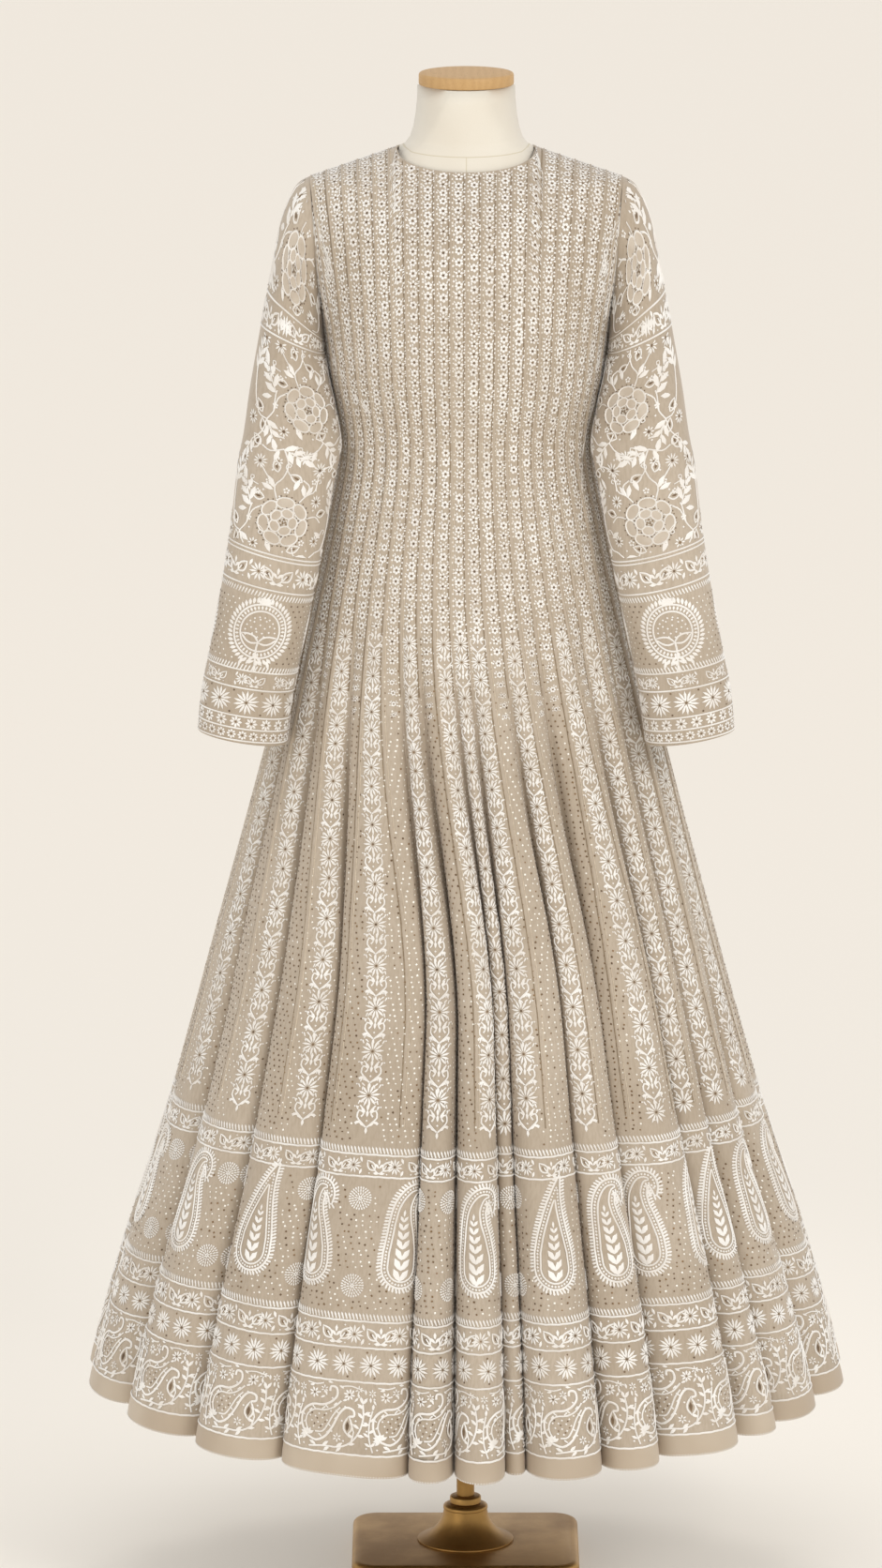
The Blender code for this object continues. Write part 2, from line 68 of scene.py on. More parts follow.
# ------------------------------------------------------------------ floor
# A plain floor of matt cream studio paper, wide enough to fill every view, with nothing on
# it. It glows faintly, so that the shade under the skirt stays light.
class Value:
    """A socket in a material's node tree that can be added, multiplied and so on."""

    def __init__(self, tree, socket=None):
        self.tree, self.socket = tree, socket

    def node(self, kind, settings, inputs, output=0):
        """Any node: its settings are set first, then its sockets' values or links."""
        made = self.tree.nodes.new("ShaderNode" + kind)
        for name, setting in settings.items():
            setattr(made, name, setting)
        for key, value in inputs.items():
            if isinstance(value, Value):
                self.tree.links.new(value.socket, made.inputs[key])
            else:
                made.inputs[key].default_value = value
        return Value(self.tree, made.outputs[output])

    def sum(self, operation, *terms):
        return self.node("Math", {"operation": operation}, dict(enumerate(terms)))

    def __add__(self, other):
        return self.sum("ADD", self, other)

    def __sub__(self, other):
        return self.sum("SUBTRACT", self, other)

    def __rsub__(self, other):
        return self.sum("SUBTRACT", other, self)

    def __mul__(self, other):
        return self.sum("MULTIPLY", self, other)

    def __abs__(self):
        return self.sum("ABSOLUTE", self)

    __radd__ = __add__

    def clear(self, low, high):
        """0 where this value is low or less, 1 where it is high or more."""
        return self.node("MapRange", {"clamp": True, "interpolation_type": "SMOOTHSTEP"},
                         {0: self, 1: low, 2: high})

    def coordinates(self, stretch=(1.0, 1.0, 1.0)):
        """Places on the object in metres, stretched along each axis."""
        place = self.node("TexCoord", {}, {}, output=3)
        return self.node("VectorMath", {"operation": "MULTIPLY"}, {0: place, 1: stretch})

    def noise(self, scale, detail=2.0, stretch=(1.0, 1.0, 1.0), rough=0.5):
        return self.node("TexNoise", {}, {"Vector": self.coordinates(stretch), "Scale": scale,
                                          "Detail": detail, "Roughness": rough})

    def mix(self, first, second):
        """A colour between two, by this value."""
        return self.node("Mix", {"data_type": "RGBA"}, {0: self, 6: first, 7: second}, 2)

    def bump(self, strength, distance):
        return self.node("Bump", {}, {"Height": self, "Strength": strength,
                                      "Distance": distance})


def linear(red, green, blue):
    """A colour given as on a screen, 0 to 255, for a shader's socket."""
    def channel(byte):
        part = byte / 255.0
        return part / 12.92 if part <= 0.04045 else ((part + 0.055) / 1.055) ** 2.4
    return (channel(red), channel(green), channel(blue), 1.0)


def new_look(name, colour, rough, **constants):
    """A material with the numbers that are the same all over it, and a start for sums."""
    look = bpy.data.materials.new(name)
    look.use_nodes = True
    shader = look.node_tree.nodes["Principled BSDF"]
    shader.inputs["Base Color"].default_value = colour
    shader.inputs["Roughness"].default_value = rough
    for key, constant in constants.items():
        shader.inputs[key.replace("_", " ").title()].default_value = constant
    return look, Value(look.node_tree)


def feed(look, socket, value):
    """Link a value to one of the sockets of a material's shader."""
    shader = look.node_tree.nodes["Principled BSDF"]
    look.node_tree.links.new(value.socket, shader.inputs[socket])


def mesh_object(name, points, faces, look, sharp=40.0):
    """An object from points and faces, smooth but at edges sharper than so many degrees."""
    mesh = bpy.data.meshes.new(name)
    mesh.from_pydata(np.asarray(points).tolist(), [], [list(f) for f in faces])
    mesh.materials.append(look)
    mesh.shade_smooth()
    mesh.set_sharp_from_angle(angle=math.radians(sharp))
    made = bpy.data.objects.new(name, mesh)
    bpy.context.scene.collection.objects.link(made)
    return made


def quads(rows, across, start=0, wrap=False):
    """Faces of a grid of points, stored row by row from the index start."""
    j, i = np.meshgrid(np.arange(rows - 1), np.arange(across - (not wrap)), indexing="ij")
    k = (i + 1) % across
    corners = (j * across + i, j * across + k, (j + 1) * across + k, (j + 1) * across + i)
    return (np.stack(corners, axis=-1).reshape(-1, 4) + start).tolist()


FLOOR_HALF, FLOOR_GLOW = 26.0, 0.30

paper_look, start = new_look("paper", linear(246, 240, 231), 0.85)
away = start.node("SeparateXYZ", {}, {0: start.coordinates()}, output=1)
# The paper is painted a little darker near the stand, as painted shade that evens out the pool of
# the floor light there, and lighter far off.
feed(paper_look, "Base Color",
     away.clear(0.3, 5.0).mix(linear(200, 195, 187), linear(206, 199, 189)))
feed(paper_look, "Normal", start.noise(260.0, detail=3.0).bump(0.06, 0.0006))
paper = paper_look.node_tree.nodes["Principled BSDF"]
paper.inputs["Emission Color"].default_value = linear(250, 243, 232)
paper.inputs["Emission Strength"].default_value = FLOOR_GLOW

marks = np.array((-1.0, -0.3, -0.1, 0.0, 0.1, 0.3, 1.0)) * FLOOR_HALF
floor = mesh_object("paper_floor", [(x, y, 0.0) for y in marks for x in marks],
                    quads(len(marks), len(marks)), paper_look)


# ------------------------------------------------------------------ light
# A large soft light from the upper right in front, a wider and weaker one from the left, a
# small one from behind on the floor under the skirt, and even warm light all round.
WARM, MILD, AMBIENT = (1.0, 0.98, 0.95), (1.0, 0.985, 0.96), (1.0, 0.993, 0.985, 1.0)


def area_light(name, place, aim, wide, power, colour):
    """A round light at a place, turned towards another."""
    lamp = bpy.data.lights.new(name, "AREA")
    lamp.shape = "DISK"
    lamp.size = wide
    lamp.energy = power
    lamp.color = colour
    made = bpy.data.objects.new(name, lamp)
    made.location = place
    away = np.array(place) - np.array(aim)
    made.rotation_euler = (math.acos(away[2] / np.linalg.norm(away)), 0.0,
                           math.atan2(away[1], away[0]) + math.pi / 2)
    bpy.context.scene.collection.objects.link(made)
    return made


area_light("key_light", (2.9, -4.4, 3.7), (0.0, 0.0, 0.8), 1.8, 95.0, WARM)
area_light("fill_light", (-4.2, -4.6, 1.9), (0.0, 0.0, 0.6), 3.0, 46.0, MILD)
floor_light = area_light("floor_light", (0.1, 2.3, 2.3), (0.0, 0.25, 0.0), 0.8, 1.3, WARM)
floor_light.data.spread = math.radians(46.0)

world = bpy.data.worlds.new("studio")
world.use_nodes = True
sky = world.node_tree.nodes["Background"]
sky.inputs["Color"].default_value = AMBIENT
sky.inputs["Strength"].default_value = 0.90
bpy.context.scene.world = world
bpy.context.scene.view_settings.view_transform = "Standard"


# ------------------------------------------------------------------ front and back panels
# Each is 26 narrow flared columns of fine cotton, joined by raised pin tucks that run from
# the neck and shoulders down into the skirt. The skirt falls from the waist in deep folds,
# and the panel stands off the form below it.
FRONT, BACK = -1, 1
COLUMNS = 26
MID = COLUMNS / 2
NECK_COLUMNS = 4.5
SHOULDER_COLUMNS = 10.0
HEM, HEM_RISE, HEM_BAND = 0.195, 0.019, 0.022
RISE_TOP = 0.62
FOLD_TOP, YOKE = 1.14, 1.325
TOP = YOKE + 0.32
NECK_HALF, NECK_SIDE = 0.0735, 1.544
NECK_DROP = {FRONT: 0.019, BACK: 0.002}
ARMHOLE_X, ARMHOLE_LEAN, ARMHOLE_Z, ARMHOLE_HIGH = 0.1575, 0.006, 1.4365, 0.0765
TIP_X, TIP_Z = ARMHOLE_X + ARMHOLE_LEAN, ARMHOLE_Z + ARMHOLE_HIGH
CLOTH_THICK = 0.0013
HALF_GAP = 0.00015
TUCK_HIGH, TUCK_CREST, TUCK_FOOT = 0.0013, 0.0008, 0.0021

# Height, half-width, depth in front, depth behind
BODY = np.array((
    (0.170, 0.4150, 0.3850, 0.3850), (0.217, 0.4045, 0.3740, 0.3740),
    (0.363, 0.3655, 0.3370, 0.3370), (0.491, 0.3255, 0.2980, 0.2980),
    (0.606, 0.2945, 0.2670, 0.2650), (0.720, 0.2635, 0.2360, 0.2320),
    (0.831, 0.2330, 0.2060, 0.2010), (0.950, 0.2010, 0.1740, 0.1690),
    (1.060, 0.1720, 0.1460, 0.1410), (1.150, 0.1500, 0.1240, 0.1160),
    (1.235, 0.1355, 0.1080, 0.0980), (1.310, 0.1465, 0.1240, 0.1040),
    (1.360, 0.1515, 0.1280, 0.1110), (1.400, 0.1610, 0.1255, 0.1120),
    (1.440, 0.1695, 0.1170, 0.1075), (1.480, 0.1740, 0.0985, 0.0930),
    (1.500, 0.1720, 0.0830, 0.0790), (1.513, 0.1635, 0.0705, 0.0670),
    (1.525, 0.1287, 0.0575, 0.0580), (1.544, 0.0735, 0.0400, 0.0480),
))
BODY_SLOPES = np.gradient(BODY, BODY[:, 0], axis=0)
# How far the cloth of a fold swings out over its valleys, in shares of the fold
SWING, SWING_EASE = 0.180, 0.0144
# Depth in metres and half-width in columns of the crease along a valley
VALLEY_CREASE, VALLEY_HALF = 0.015, 0.24

# Columns in the fold, width in degrees round the hem, depth of the valley on its -X
# side, how far its crest lies inside the outline
FOLDS = {
    FRONT: np.array((
        (2, 22.0, 0.030, 0.000), (2, 20.0, 0.034, 0.000), (2, 17.0, 0.038, 0.000),
        (3, 21.7, 0.040, 0.000), (1, 7.3, 0.034, 0.002), (2, 8.3, 0.050, 0.000),
        (1, 3.5, 0.046, 0.032), (2, 12.5, 0.050, 0.000), (2, 10.2, 0.040, 0.004),
        (3, 16.1, 0.052, 0.000), (2, 8.8, 0.046, 0.006), (2, 15.6, 0.040, 0.000),
        (2, 17.0, 0.036, 0.000),
    )),
    BACK: np.array((
        (2, 16.0, 0.030, 0.000), (2, 13.5, 0.038, 0.000), (2, 18.5, 0.044, 0.002),
        (2, 12.0, 0.050, 0.000), (2, 9.0, 0.040, 0.010), (2, 12.5, 0.046, 0.000),
        (2, 11.0, 0.054, 0.000), (2, 17.5, 0.044, 0.003), (2, 9.5, 0.048, 0.008),
        (2, 14.0, 0.042, 0.000), (2, 18.0, 0.040, 0.000), (2, 11.5, 0.036, 0.004),
        (2, 17.0, 0.034, 0.000),
    )),
}

# Soft troughs, and ridges where the depth is negative: column at the foot, drift in
# columns up to the top, lowest row, highest row, half-width in columns, depth
CREASES = {
    FRONT: (
        (2.2, 0.5, 0.20, 0.78, 0.45, 0.006), (4.9, 0.3, 0.24, 0.66, 0.35, 0.004),
        (7.4, 0.6, 0.19, 0.92, 0.40, 0.007), (9.1, -0.3, 0.42, 1.04, 0.30, -0.003),
        (12.3, 0.2, 0.30, 0.88, 0.25, 0.004), (14.6, -0.3, 0.19, 0.74, 0.30, 0.005),
        (16.4, 0.2, 0.46, 1.06, 0.35, 0.004), (18.2, -0.6, 0.19, 0.86, 0.40, 0.008),
        (19.3, 0.3, 0.33, 0.61, 0.30, -0.003), (21.2, -0.4, 0.22, 0.70, 0.35, 0.005),
        (23.4, -0.3, 0.19, 0.82, 0.45, 0.006), (24.8, 0.2, 0.38, 0.96, 0.40, 0.004),
        (6.1, 0.5, 1.14, 1.29, 0.50, 0.0016), (19.6, -0.6, 1.12, 1.30, 0.55, 0.0018),
        (10.4, 0.2, 1.15, 1.27, 0.40, 0.0012), (15.3, 0.3, 1.16, 1.28, 0.35, 0.0013),
    ),
    BACK: (
        (1.4, 0.4, 0.22, 0.76, 0.40, 0.005), (4.6, 0.3, 0.19, 0.90, 0.40, 0.006),
        (6.9, -0.5, 0.30, 0.72, 0.35, 0.004), (9.3, 0.3, 0.19, 0.84, 0.30, 0.005),
        (12.6, -0.2, 0.40, 1.05, 0.35, -0.003), (15.2, 0.4, 0.19, 0.68, 0.35, 0.006),
        (17.4, -0.4, 0.34, 0.98, 0.40, 0.004), (19.7, 0.2, 0.20, 0.80, 0.35, 0.005),
        (22.6, -0.5, 0.19, 0.70, 0.45, 0.006), (24.4, 0.3, 0.44, 0.94, 0.40, 0.004),
        (7.2, 0.4, 1.13, 1.30, 0.50, 0.0015), (18.5, -0.5, 1.15, 1.29, 0.50, 0.0014),
    ),
}


def body_section(height):
    """Half-width, front depth and back depth, on a smooth curve below the shoulder tip."""
    height = np.asarray(height, dtype=float)
    k = np.clip(np.searchsorted(BODY[:, 0], height, side="right") - 1, 0, len(BODY) - 2)
    low, high = BODY[k], BODY[k + 1]
    span = (high[..., 0] - low[..., 0])[..., None]
    t = np.clip((height - low[..., 0])[..., None] / span, 0.0, 1.0)
    curve = (low * (2 * t ** 3 - 3 * t ** 2 + 1) + high * (3 * t ** 2 - 2 * t ** 3)
             + BODY_SLOPES[k] * span * (t ** 3 - 2 * t ** 2 + t)
             + BODY_SLOPES[k + 1] * span * (t ** 3 - t ** 2))
    straight = low + (high - low) * t
    section = np.where((height >= TIP_Z)[..., None], straight, curve)
    return section[..., 1], section[..., 2], section[..., 3]


def soft_step(value):
    """A smooth rise from 0 to 1 as the value goes from 0 to 1."""
    part = np.clip(value, 0.0, 1.0)
    return part * part * (3 - 2 * part)


def even_angle(column):
    """Angle round the body, 0 at the middle, of columns spread over it almost evenly."""
    across = column / MID - 1.0
    return 90.0 * (0.875 * across + 0.125 * across ** 3)


def fold_starts(side):
    """The column where each fold of the skirt begins, and the last one's end."""
    return np.concatenate(([0.0], np.cumsum(FOLDS[side][:, 0])))


def crease_depth(side, column, row):
    """How far the soft troughs and ridges move the cloth in."""
    depth = np.zeros(np.broadcast(column, row).shape)
    for foot, drift, low, high, half, deep in CREASES[side]:
        along = (row - low) / (high - low)
        middle = foot + drift * along + 0.12 * np.sin(5.0 * along + foot)
        fade = soft_step(along * 4.0 + (low < HEM + HEM_BAND)) * soft_step((1 - along) * 2.2)
        depth = depth + deep * fade * np.exp(-((column - middle) / half) ** 2)
    return depth


def skirt_point(side, column, row):
    """A point of a panel below the yoke line."""
    table = FOLDS[side]
    starts = fold_starts(side)
    angles = -90.0 + np.concatenate(([0.0], np.cumsum(table[:, 1])))
    valleys = np.append(table[:, 2], table[0, 2])
    fold = np.clip(np.searchsorted(starts, column, side="right") - 1, 0, len(table) - 1)
    part = (column - starts[fold]) / table[fold, 0]
    growth = np.clip((FOLD_TOP - row) / (FOLD_TOP - HEM), 0.0, 1.0)
    swing = np.clip(growth * 2.5, 0.0, 1.0)
    sideways = SWING * np.sin(2 * np.pi * part) - SWING_EASE * np.sin(4 * np.pi * part)
    at_hem = angles[fold] + table[fold, 1] * (part - swing * sideways)
    blend = soft_step(growth * 1.9)
    angle = np.radians(even_angle(column) * (1 - blend) + at_hem * blend)
    in_valley = 0.5 + 0.5 * np.cos(2 * np.pi * part)
    valley = np.where(part < 0.5, valleys[fold], valleys[fold + 1])
    inside = (valley * in_valley + table[fold, 3] * (1 - in_valley)) * growth ** 1.25
    at_seam = soft_step((MID - np.abs(column - MID)) * 1.5)
    inside = inside + crease_depth(side, column, row) * at_seam
    from_valley = (0.5 - np.abs(part - 0.5)) * table[fold, 0]
    crease = VALLEY_CREASE * np.exp(-(from_valley / VALLEY_HALF) ** 2) * at_seam
    inside = inside + (crease * soft_step(growth * 2.8 - 0.1)
                       * (1 - 0.55 * soft_step(growth * 1.6 - 0.6)))
    wide, front, back = body_section(row)
    deep = front if side == FRONT else back
    sine, cosine = np.sin(angle), np.cos(angle)
    length = np.hypot(sine / wide, cosine / deep)
    rise = HEM_RISE * sine ** 2 * np.clip((RISE_TOP - row) / (RISE_TOP - HEM), 0.0, 1.0)
    return np.stack((wide * sine - inside * sine / wide / length,
                     side * (deep * cosine - inside * cosine / deep / length),
                     row + rise), axis=-1)


def section_depth(side, x, height):
    """y of the cloth above the yoke line, at a distance x from the middle."""
    wide, front, back = body_section(height)
    deep = front if side == FRONT else back
    return side * deep * np.sqrt(np.clip(1.0 - (x / wide) ** 2, 0.0, 1.0))


def top_edge(side, column):
    """x and z of the neckline, the shoulder seam and the armhole."""
    out = np.abs(column - MID)
    turn = np.arcsin(np.clip(out / NECK_COLUMNS, 0.0, 1.0))
    along = (out - NECK_COLUMNS) / (SHOULDER_COLUMNS - NECK_COLUMNS)
    past = np.clip((out - SHOULDER_COLUMNS) / (MID - SHOULDER_COLUMNS), 0.0, 1.0)
    down = np.pi * past ** 0.8
    zone = [out <= NECK_COLUMNS, out <= SHOULDER_COLUMNS]
    x = np.select(zone, [NECK_HALF * np.sin(turn), NECK_HALF + (TIP_X - NECK_HALF) * along],
                  ARMHOLE_X + ARMHOLE_LEAN * np.cos(down))
    z = np.select(zone, [NECK_SIDE - NECK_DROP[side] * np.cos(turn),
                         NECK_SIDE + (TIP_Z - NECK_SIDE) * along],
                  ARMHOLE_Z + ARMHOLE_HIGH * np.cos(down))
    return np.where(column >= MID, x, -x), z


def panel_point(side, column, row):
    """A point of a panel, anywhere on it."""
    column, row = np.broadcast_arrays(np.asarray(column, float), np.asarray(row, float))
    low = skirt_point(side, column, np.minimum(row, YOKE))
    climb = np.sin(np.pi / 2 * np.clip((row - YOKE) / (TOP - YOKE), 0.0, 1.0))
    top_x, top_z = top_edge(side, column)
    x = low[..., 0] + (top_x - low[..., 0]) * climb
    z = YOKE + (top_z - YOKE) * climb
    high = np.stack((x, section_depth(side, x, z), z), axis=-1)
    return np.where((row > YOKE)[..., None], high, low)


def panel_surface(side):
    """The panel as a function of column and row that gives points and outward normals."""
    def surface(column, row):
        column, row = np.broadcast_arrays(np.asarray(column, float), np.asarray(row, float))
        across = (panel_point(side, np.minimum(column + 0.02, COLUMNS), row)
                  - panel_point(side, np.maximum(column - 0.02, 0.0), row))
        along = (panel_point(side, column, np.minimum(row + 0.002, TOP))
                 - panel_point(side, column, row - 0.002))
        normal = np.cross(across, along) * -side
        out = np.abs(column - MID)
        seam = np.stack((along[..., 2], 0.0 * out, -along[..., 0]), axis=-1)
        seam = seam * np.sign(column - MID)[..., None]
        normal = np.where((out > MID - 1e-4)[..., None], seam, normal)
        on_shoulder = ((row > TOP - 0.0003) & (out > NECK_COLUMNS - 1e-4)
                       & (out < SHOULDER_COLUMNS + 1e-4))
        fall, run = NECK_SIDE - TIP_Z, TIP_X - NECK_HALF
        shoulder = np.stack((np.sign(column - MID) * fall, 0.0 * out, run + 0.0 * out), -1)
        normal = np.where(on_shoulder[..., None], shoulder, normal)
        normal = normal / np.linalg.norm(normal, axis=-1, keepdims=True)
        return panel_point(side, column, row), normal
    return surface


def tuck_height(row):
    """The tucks are full height in the bodice and die away in the skirt."""
    return TUCK_HIGH * (0.25 + 0.75 * soft_step((row - 0.45) / 0.55))


def running_length(points, axis=0):
    """Length along one axis of a grid of points, from its start to each point."""
    steps = np.linalg.norm(np.diff(points, axis=axis), axis=-1)
    return np.insert(np.cumsum(steps, axis=axis), 0, 0.0, axis=axis)


def whole_length(points, axis=0):
    """Length along one axis of a grid of points, from end to end."""
    return np.linalg.norm(np.diff(points, axis=axis), axis=-1).sum(axis=axis)


def column_width(side, row):
    """Mean width of one column of cloth at each row."""
    points = panel_point(side, np.linspace(0.0, COLUMNS, 521), row[:, None])
    return whole_length(points, axis=1) / COLUMNS


def edge_strip(first, first_at, second, second_at):
    """Triangles between two edges that have different numbers of points."""
    faces = []
    i = j = 0
    while i < len(first) - 1 or j < len(second) - 1:
        at_end = j == len(second) - 1
        if at_end or (i < len(first) - 1 and first_at[i + 1] <= second_at[j + 1]):
            faces.append((first[i], first[i + 1], second[j]))
            i += 1
        else:
            faces.append((first[i], second[j + 1], second[j]))
            j += 1
    return faces


def face_outward(made, merge=None):
    """Turn the faces of a closed piece outward; points closer than merge become one."""
    shape = bmesh.new()
    shape.from_mesh(made.data)
    if merge:
        bmesh.ops.remove_doubles(shape, verts=shape.verts, dist=merge)
    bmesh.ops.recalc_face_normals(shape, faces=shape.faces)
    if shape.calc_volume(signed=True) < 0:
        bmesh.ops.reverse_faces(shape, faces=shape.faces)
    shape.to_mesh(made.data)
    shape.free()


def two_skins(name, outer, inner, look, wrap=False):
    """A closed thin piece from a fine outer and a coarser inner grid, joined at the edges."""
    (rows, across), (few_rows, few_across) = outer.shape[:2], inner.shape[:2]
    start = rows * across
    out = np.arange(start).reshape(rows, across)
    inn = start + np.arange(few_rows * few_across).reshape(few_rows, few_across)
    faces = quads(rows, across, wrap=wrap) + quads(few_rows, few_across, start, wrap)
    for j in (0, -1):
        edge, few_edge = list(out[j]), list(inn[j])
        if wrap:
            edge.append(edge[0])
            few_edge.append(few_edge[0])
        faces += edge_strip(edge, np.linspace(0, 1, len(edge)),
                            few_edge, np.linspace(0, 1, len(few_edge)))
    if not wrap:
        for i in (0, -1):
            faces += edge_strip(list(out[:, i]), np.linspace(0, 1, rows),
                                list(inn[:, i]), np.linspace(0, 1, few_rows))
    points = np.concatenate((outer.reshape(-1, 3), inner.reshape(-1, 3)))
    made = mesh_object(name, points, faces, look)
    face_outward(made)
    made.data.set_sharp_from_angle(angle=math.radians(60.0))
    return made


def fine_columns(width):
    """Column places across a panel for rows of given column width, close at the tucks."""
    width = width[:, None]
    crest, foot = TUCK_CREST / width, TUCK_FOOT / width
    between_feet = foot + (1 - 2 * foot) * np.linspace(0.0, 1.0, 9)
    one = np.concatenate((0.0 * width, crest, between_feet, 1 - crest), axis=1)
    return np.concatenate([one + k for k in range(COLUMNS)] + [0.0 * width + COLUMNS], axis=1)


def panel_grid(side, column, row, lift):
    """Points of a panel moved out by lift, its side edges kept off the other panel's."""
    points, normals = panel_surface(side)(column, row)
    points = points + normals * np.asarray(lift)[..., None]
    points[:, (0, -1), 1] = side * HALF_GAP
    return points


cloth_look, start = new_look("fine_cotton", linear(186, 171, 151), 0.78, sheen_weight=0.25,
                             sheen_roughness=0.5)
broad = start.noise(5.0, detail=2.0).clear(0.3, 0.7)
slub = start.noise(420.0, detail=3.0, stretch=(1.0, 1.0, 0.12))
weave = start.noise(1500.0, detail=2.0)
ground = broad.mix(linear(173, 158, 139), linear(186, 172, 154))
feed(cloth_look, "Base Color",
     (slub.clear(0.35, 0.75) * 0.35).mix(ground, linear(152, 135, 113)))
feed(cloth_look, "Normal", (slub * 0.6 + weave * 0.6).bump(0.25, 0.0004))

WAIST_FOOT = 1.12
FINE_ROWS = np.concatenate((np.arange(HEM + HEM_BAND, WAIST_FOOT, 0.0105),
                            np.arange(WAIST_FOOT, YOKE, 0.008), np.linspace(YOKE, TOP, 30)))
FEW_ROWS = np.concatenate((np.linspace(HEM + HEM_BAND, YOKE - 0.01, 36),
                           np.linspace(YOKE, TOP, 11)))
FEW_COLUMNS = np.linspace(0.0, COLUMNS, COLUMNS * 7 + 1)


def make_panel(name, side, node):
    """A panel: its tucks are on the fine outer skin, and the inner skin is plain."""
    width = column_width(side, FINE_ROWS)
    column = fine_columns(width)
    row = FINE_ROWS[:, None]
    away = np.abs(column - np.round(column)) * width[:, None]
    ridge = np.clip((TUCK_FOOT - away) / (TUCK_FOOT - TUCK_CREST * 0.5), 0.0, 1.0)
    out = np.abs(column - MID)
    at_edge = (out > MID - 0.5) | ((out > SHOULDER_COLUMNS) & (row > TOP - 0.03))
    lift = np.where(at_edge, 0.0, ridge * tuck_height(row))
    outer = panel_grid(side, column, row, lift)
    inner = panel_grid(side, FEW_COLUMNS, FEW_ROWS[:, None], -CLOTH_THICK)
    made = two_skins(name, outer, inner, cloth_look)
    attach(made, "root")
    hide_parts(node)
    length = whole_length(outer[:, outer.shape[1] // 2])
    skew = np.cross(outer[1:, 1:] - outer[:-1, :-1], outer[1:, :-1] - outer[:-1, 1:])
    area = np.linalg.norm(skew, axis=-1).sum() / 2
    float(width[0] * COLUMNS)


make_panel("front_cloth", FRONT, "front_panel")
make_panel("back_cloth", BACK, "back_panel")


# ------------------------------------------------------------------ form
# A limbless form padded out to a general figure and covered in cream cotton jersey, with
# a fine seam round the base of the neck and one up the centre as far as it.
FORM_EASE, FORM_DRAWN_IN = 0.0010, 0.0035
# Height, half-width and half-depth of the hips; half-width, half-depth and height of the neck
HIPS = ((0.885, 0.148, 0.112), (0.905, 0.153, 0.116), (0.980, 0.160, 0.122),
        (1.060, 0.158, 0.120))
NECK_RINGS = ((0.0700, 0.0535, 1.5462), (0.0642, 0.0520, 1.5492), (0.0590, 0.0518, 1.5560),
              (0.0555, 0.0520, 1.5670), (0.0533, 0.0515, 1.5800), (0.0518, 0.0512, 1.5940),
              (0.0512, 0.0512, 1.6100))
SEAM_RISE, SEAM_LEAN, NECK_DEEP = 1.5480, 0.13, 0.053

cover_look, start = new_look("form_cover", linear(226, 217, 200), 0.85, sheen_weight=0.3)
knit = start.noise(900.0, detail=2.0)
broad = start.noise(9.0, detail=2.0).clear(0.3, 0.7)
cover = broad.mix(linear(219, 211, 196), linear(226, 220, 207))
place = start.coordinates()
across, deep, up = (start.node("SeparateXYZ", {}, {0: place}, output=axis) for axis in range(3))
over = up - deep * SEAM_LEAN - SEAM_RISE
ring, middle = abs(over).clear(0.0002, 0.0007), abs(across).clear(0.0002, 0.0007)
off_seam = ring * (1.0 - (1.0 - middle) * (1.0 - over.clear(-0.0001, 0.0001)))
feed(cover_look, "Base Color", off_seam.mix(linear(206, 196, 172), cover))
feed(cover_look, "Normal", (knit * 0.4 + off_seam * 0.5).bump(0.35, 0.0008))


def make_form():
    """Both panels' inner surface drawn in, with hips below it and a neck drawn out above."""
    half = np.concatenate((np.linspace(0.0, NECK_COLUMNS, 10), np.linspace(5.2, 10.0, 8),
                           (10.6, 11.2, 11.8, 12.4, MID)))
    columns = np.concatenate((MID - half[:0:-1], MID + half))
    rows = np.concatenate((np.linspace(FOLD_TOP, YOKE, 8), np.linspace(YOKE + 0.03, TOP, 12)))
    out = np.abs(columns - MID)[None, :]
    drawn_in = soft_step((out - 8.5) / 1.5) + 1.0 - soft_step((out - 4.5) / 1.5)
    depth = CLOTH_THICK + FORM_EASE
    depth = depth + np.where(rows[:, None] > YOKE, FORM_DRAWN_IN * (0.4 + 0.6 * drawn_in), 0.0)
    angles = np.radians(even_angle(columns))
    shape = bmesh.new()
    for side in (FRONT, BACK):
        points, normals = panel_surface(side)(columns[None, :], rows[:, None])
        grid = points - normals * depth[..., None]
        hips = [np.stack((wide * np.sin(angles), side * deep * np.cos(angles),
                          np.full_like(angles, height)), axis=-1) for height, wide, deep in HIPS]
        skin = [[shape.verts.new(p) for p in line] for line in np.concatenate((hips, grid))]
        for low, high in zip(skin, skin[1:]):
            for i in range(len(columns) - 1):
                shape.faces.new((low[i], low[i + 1], high[i + 1], high[i]))
    bmesh.ops.remove_doubles(shape, verts=shape.verts, dist=0.0006)
    rim = [e for e in shape.edges if e.is_boundary and min(v.co.z for v in e.verts) > 1.515
           and max(abs(v.co.x) for v in e.verts) < NECK_HALF + 0.001]
    for wide, deep, height in NECK_RINGS:
        grown = bmesh.ops.extrude_edge_only(shape, edges=rim)["geom"]
        rim = [g for g in grown if isinstance(g, bmesh.types.BMEdge) and g.is_boundary]
        for vert in {v for e in rim for v in e.verts}:
            turn = math.atan2(vert.co.y / NECK_DEEP, vert.co.x / NECK_HALF)
            vert.co = (wide * math.cos(turn), deep * math.sin(turn), height)
    bmesh.ops.holes_fill(shape, edges=[e for e in shape.edges if e.is_boundary], sides=0)
    bmesh.ops.recalc_face_normals(shape, faces=shape.faces)
    mesh = bpy.data.meshes.new("form_cover")
    shape.to_mesh(mesh)
    shape.free()
    mesh.materials.append(cover_look)
    mesh.shade_smooth()
    made = bpy.data.objects.new("form_cover", mesh)
    bpy.context.scene.collection.objects.link(made)
    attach(made, "root")
    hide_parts("form_torso")


make_form()


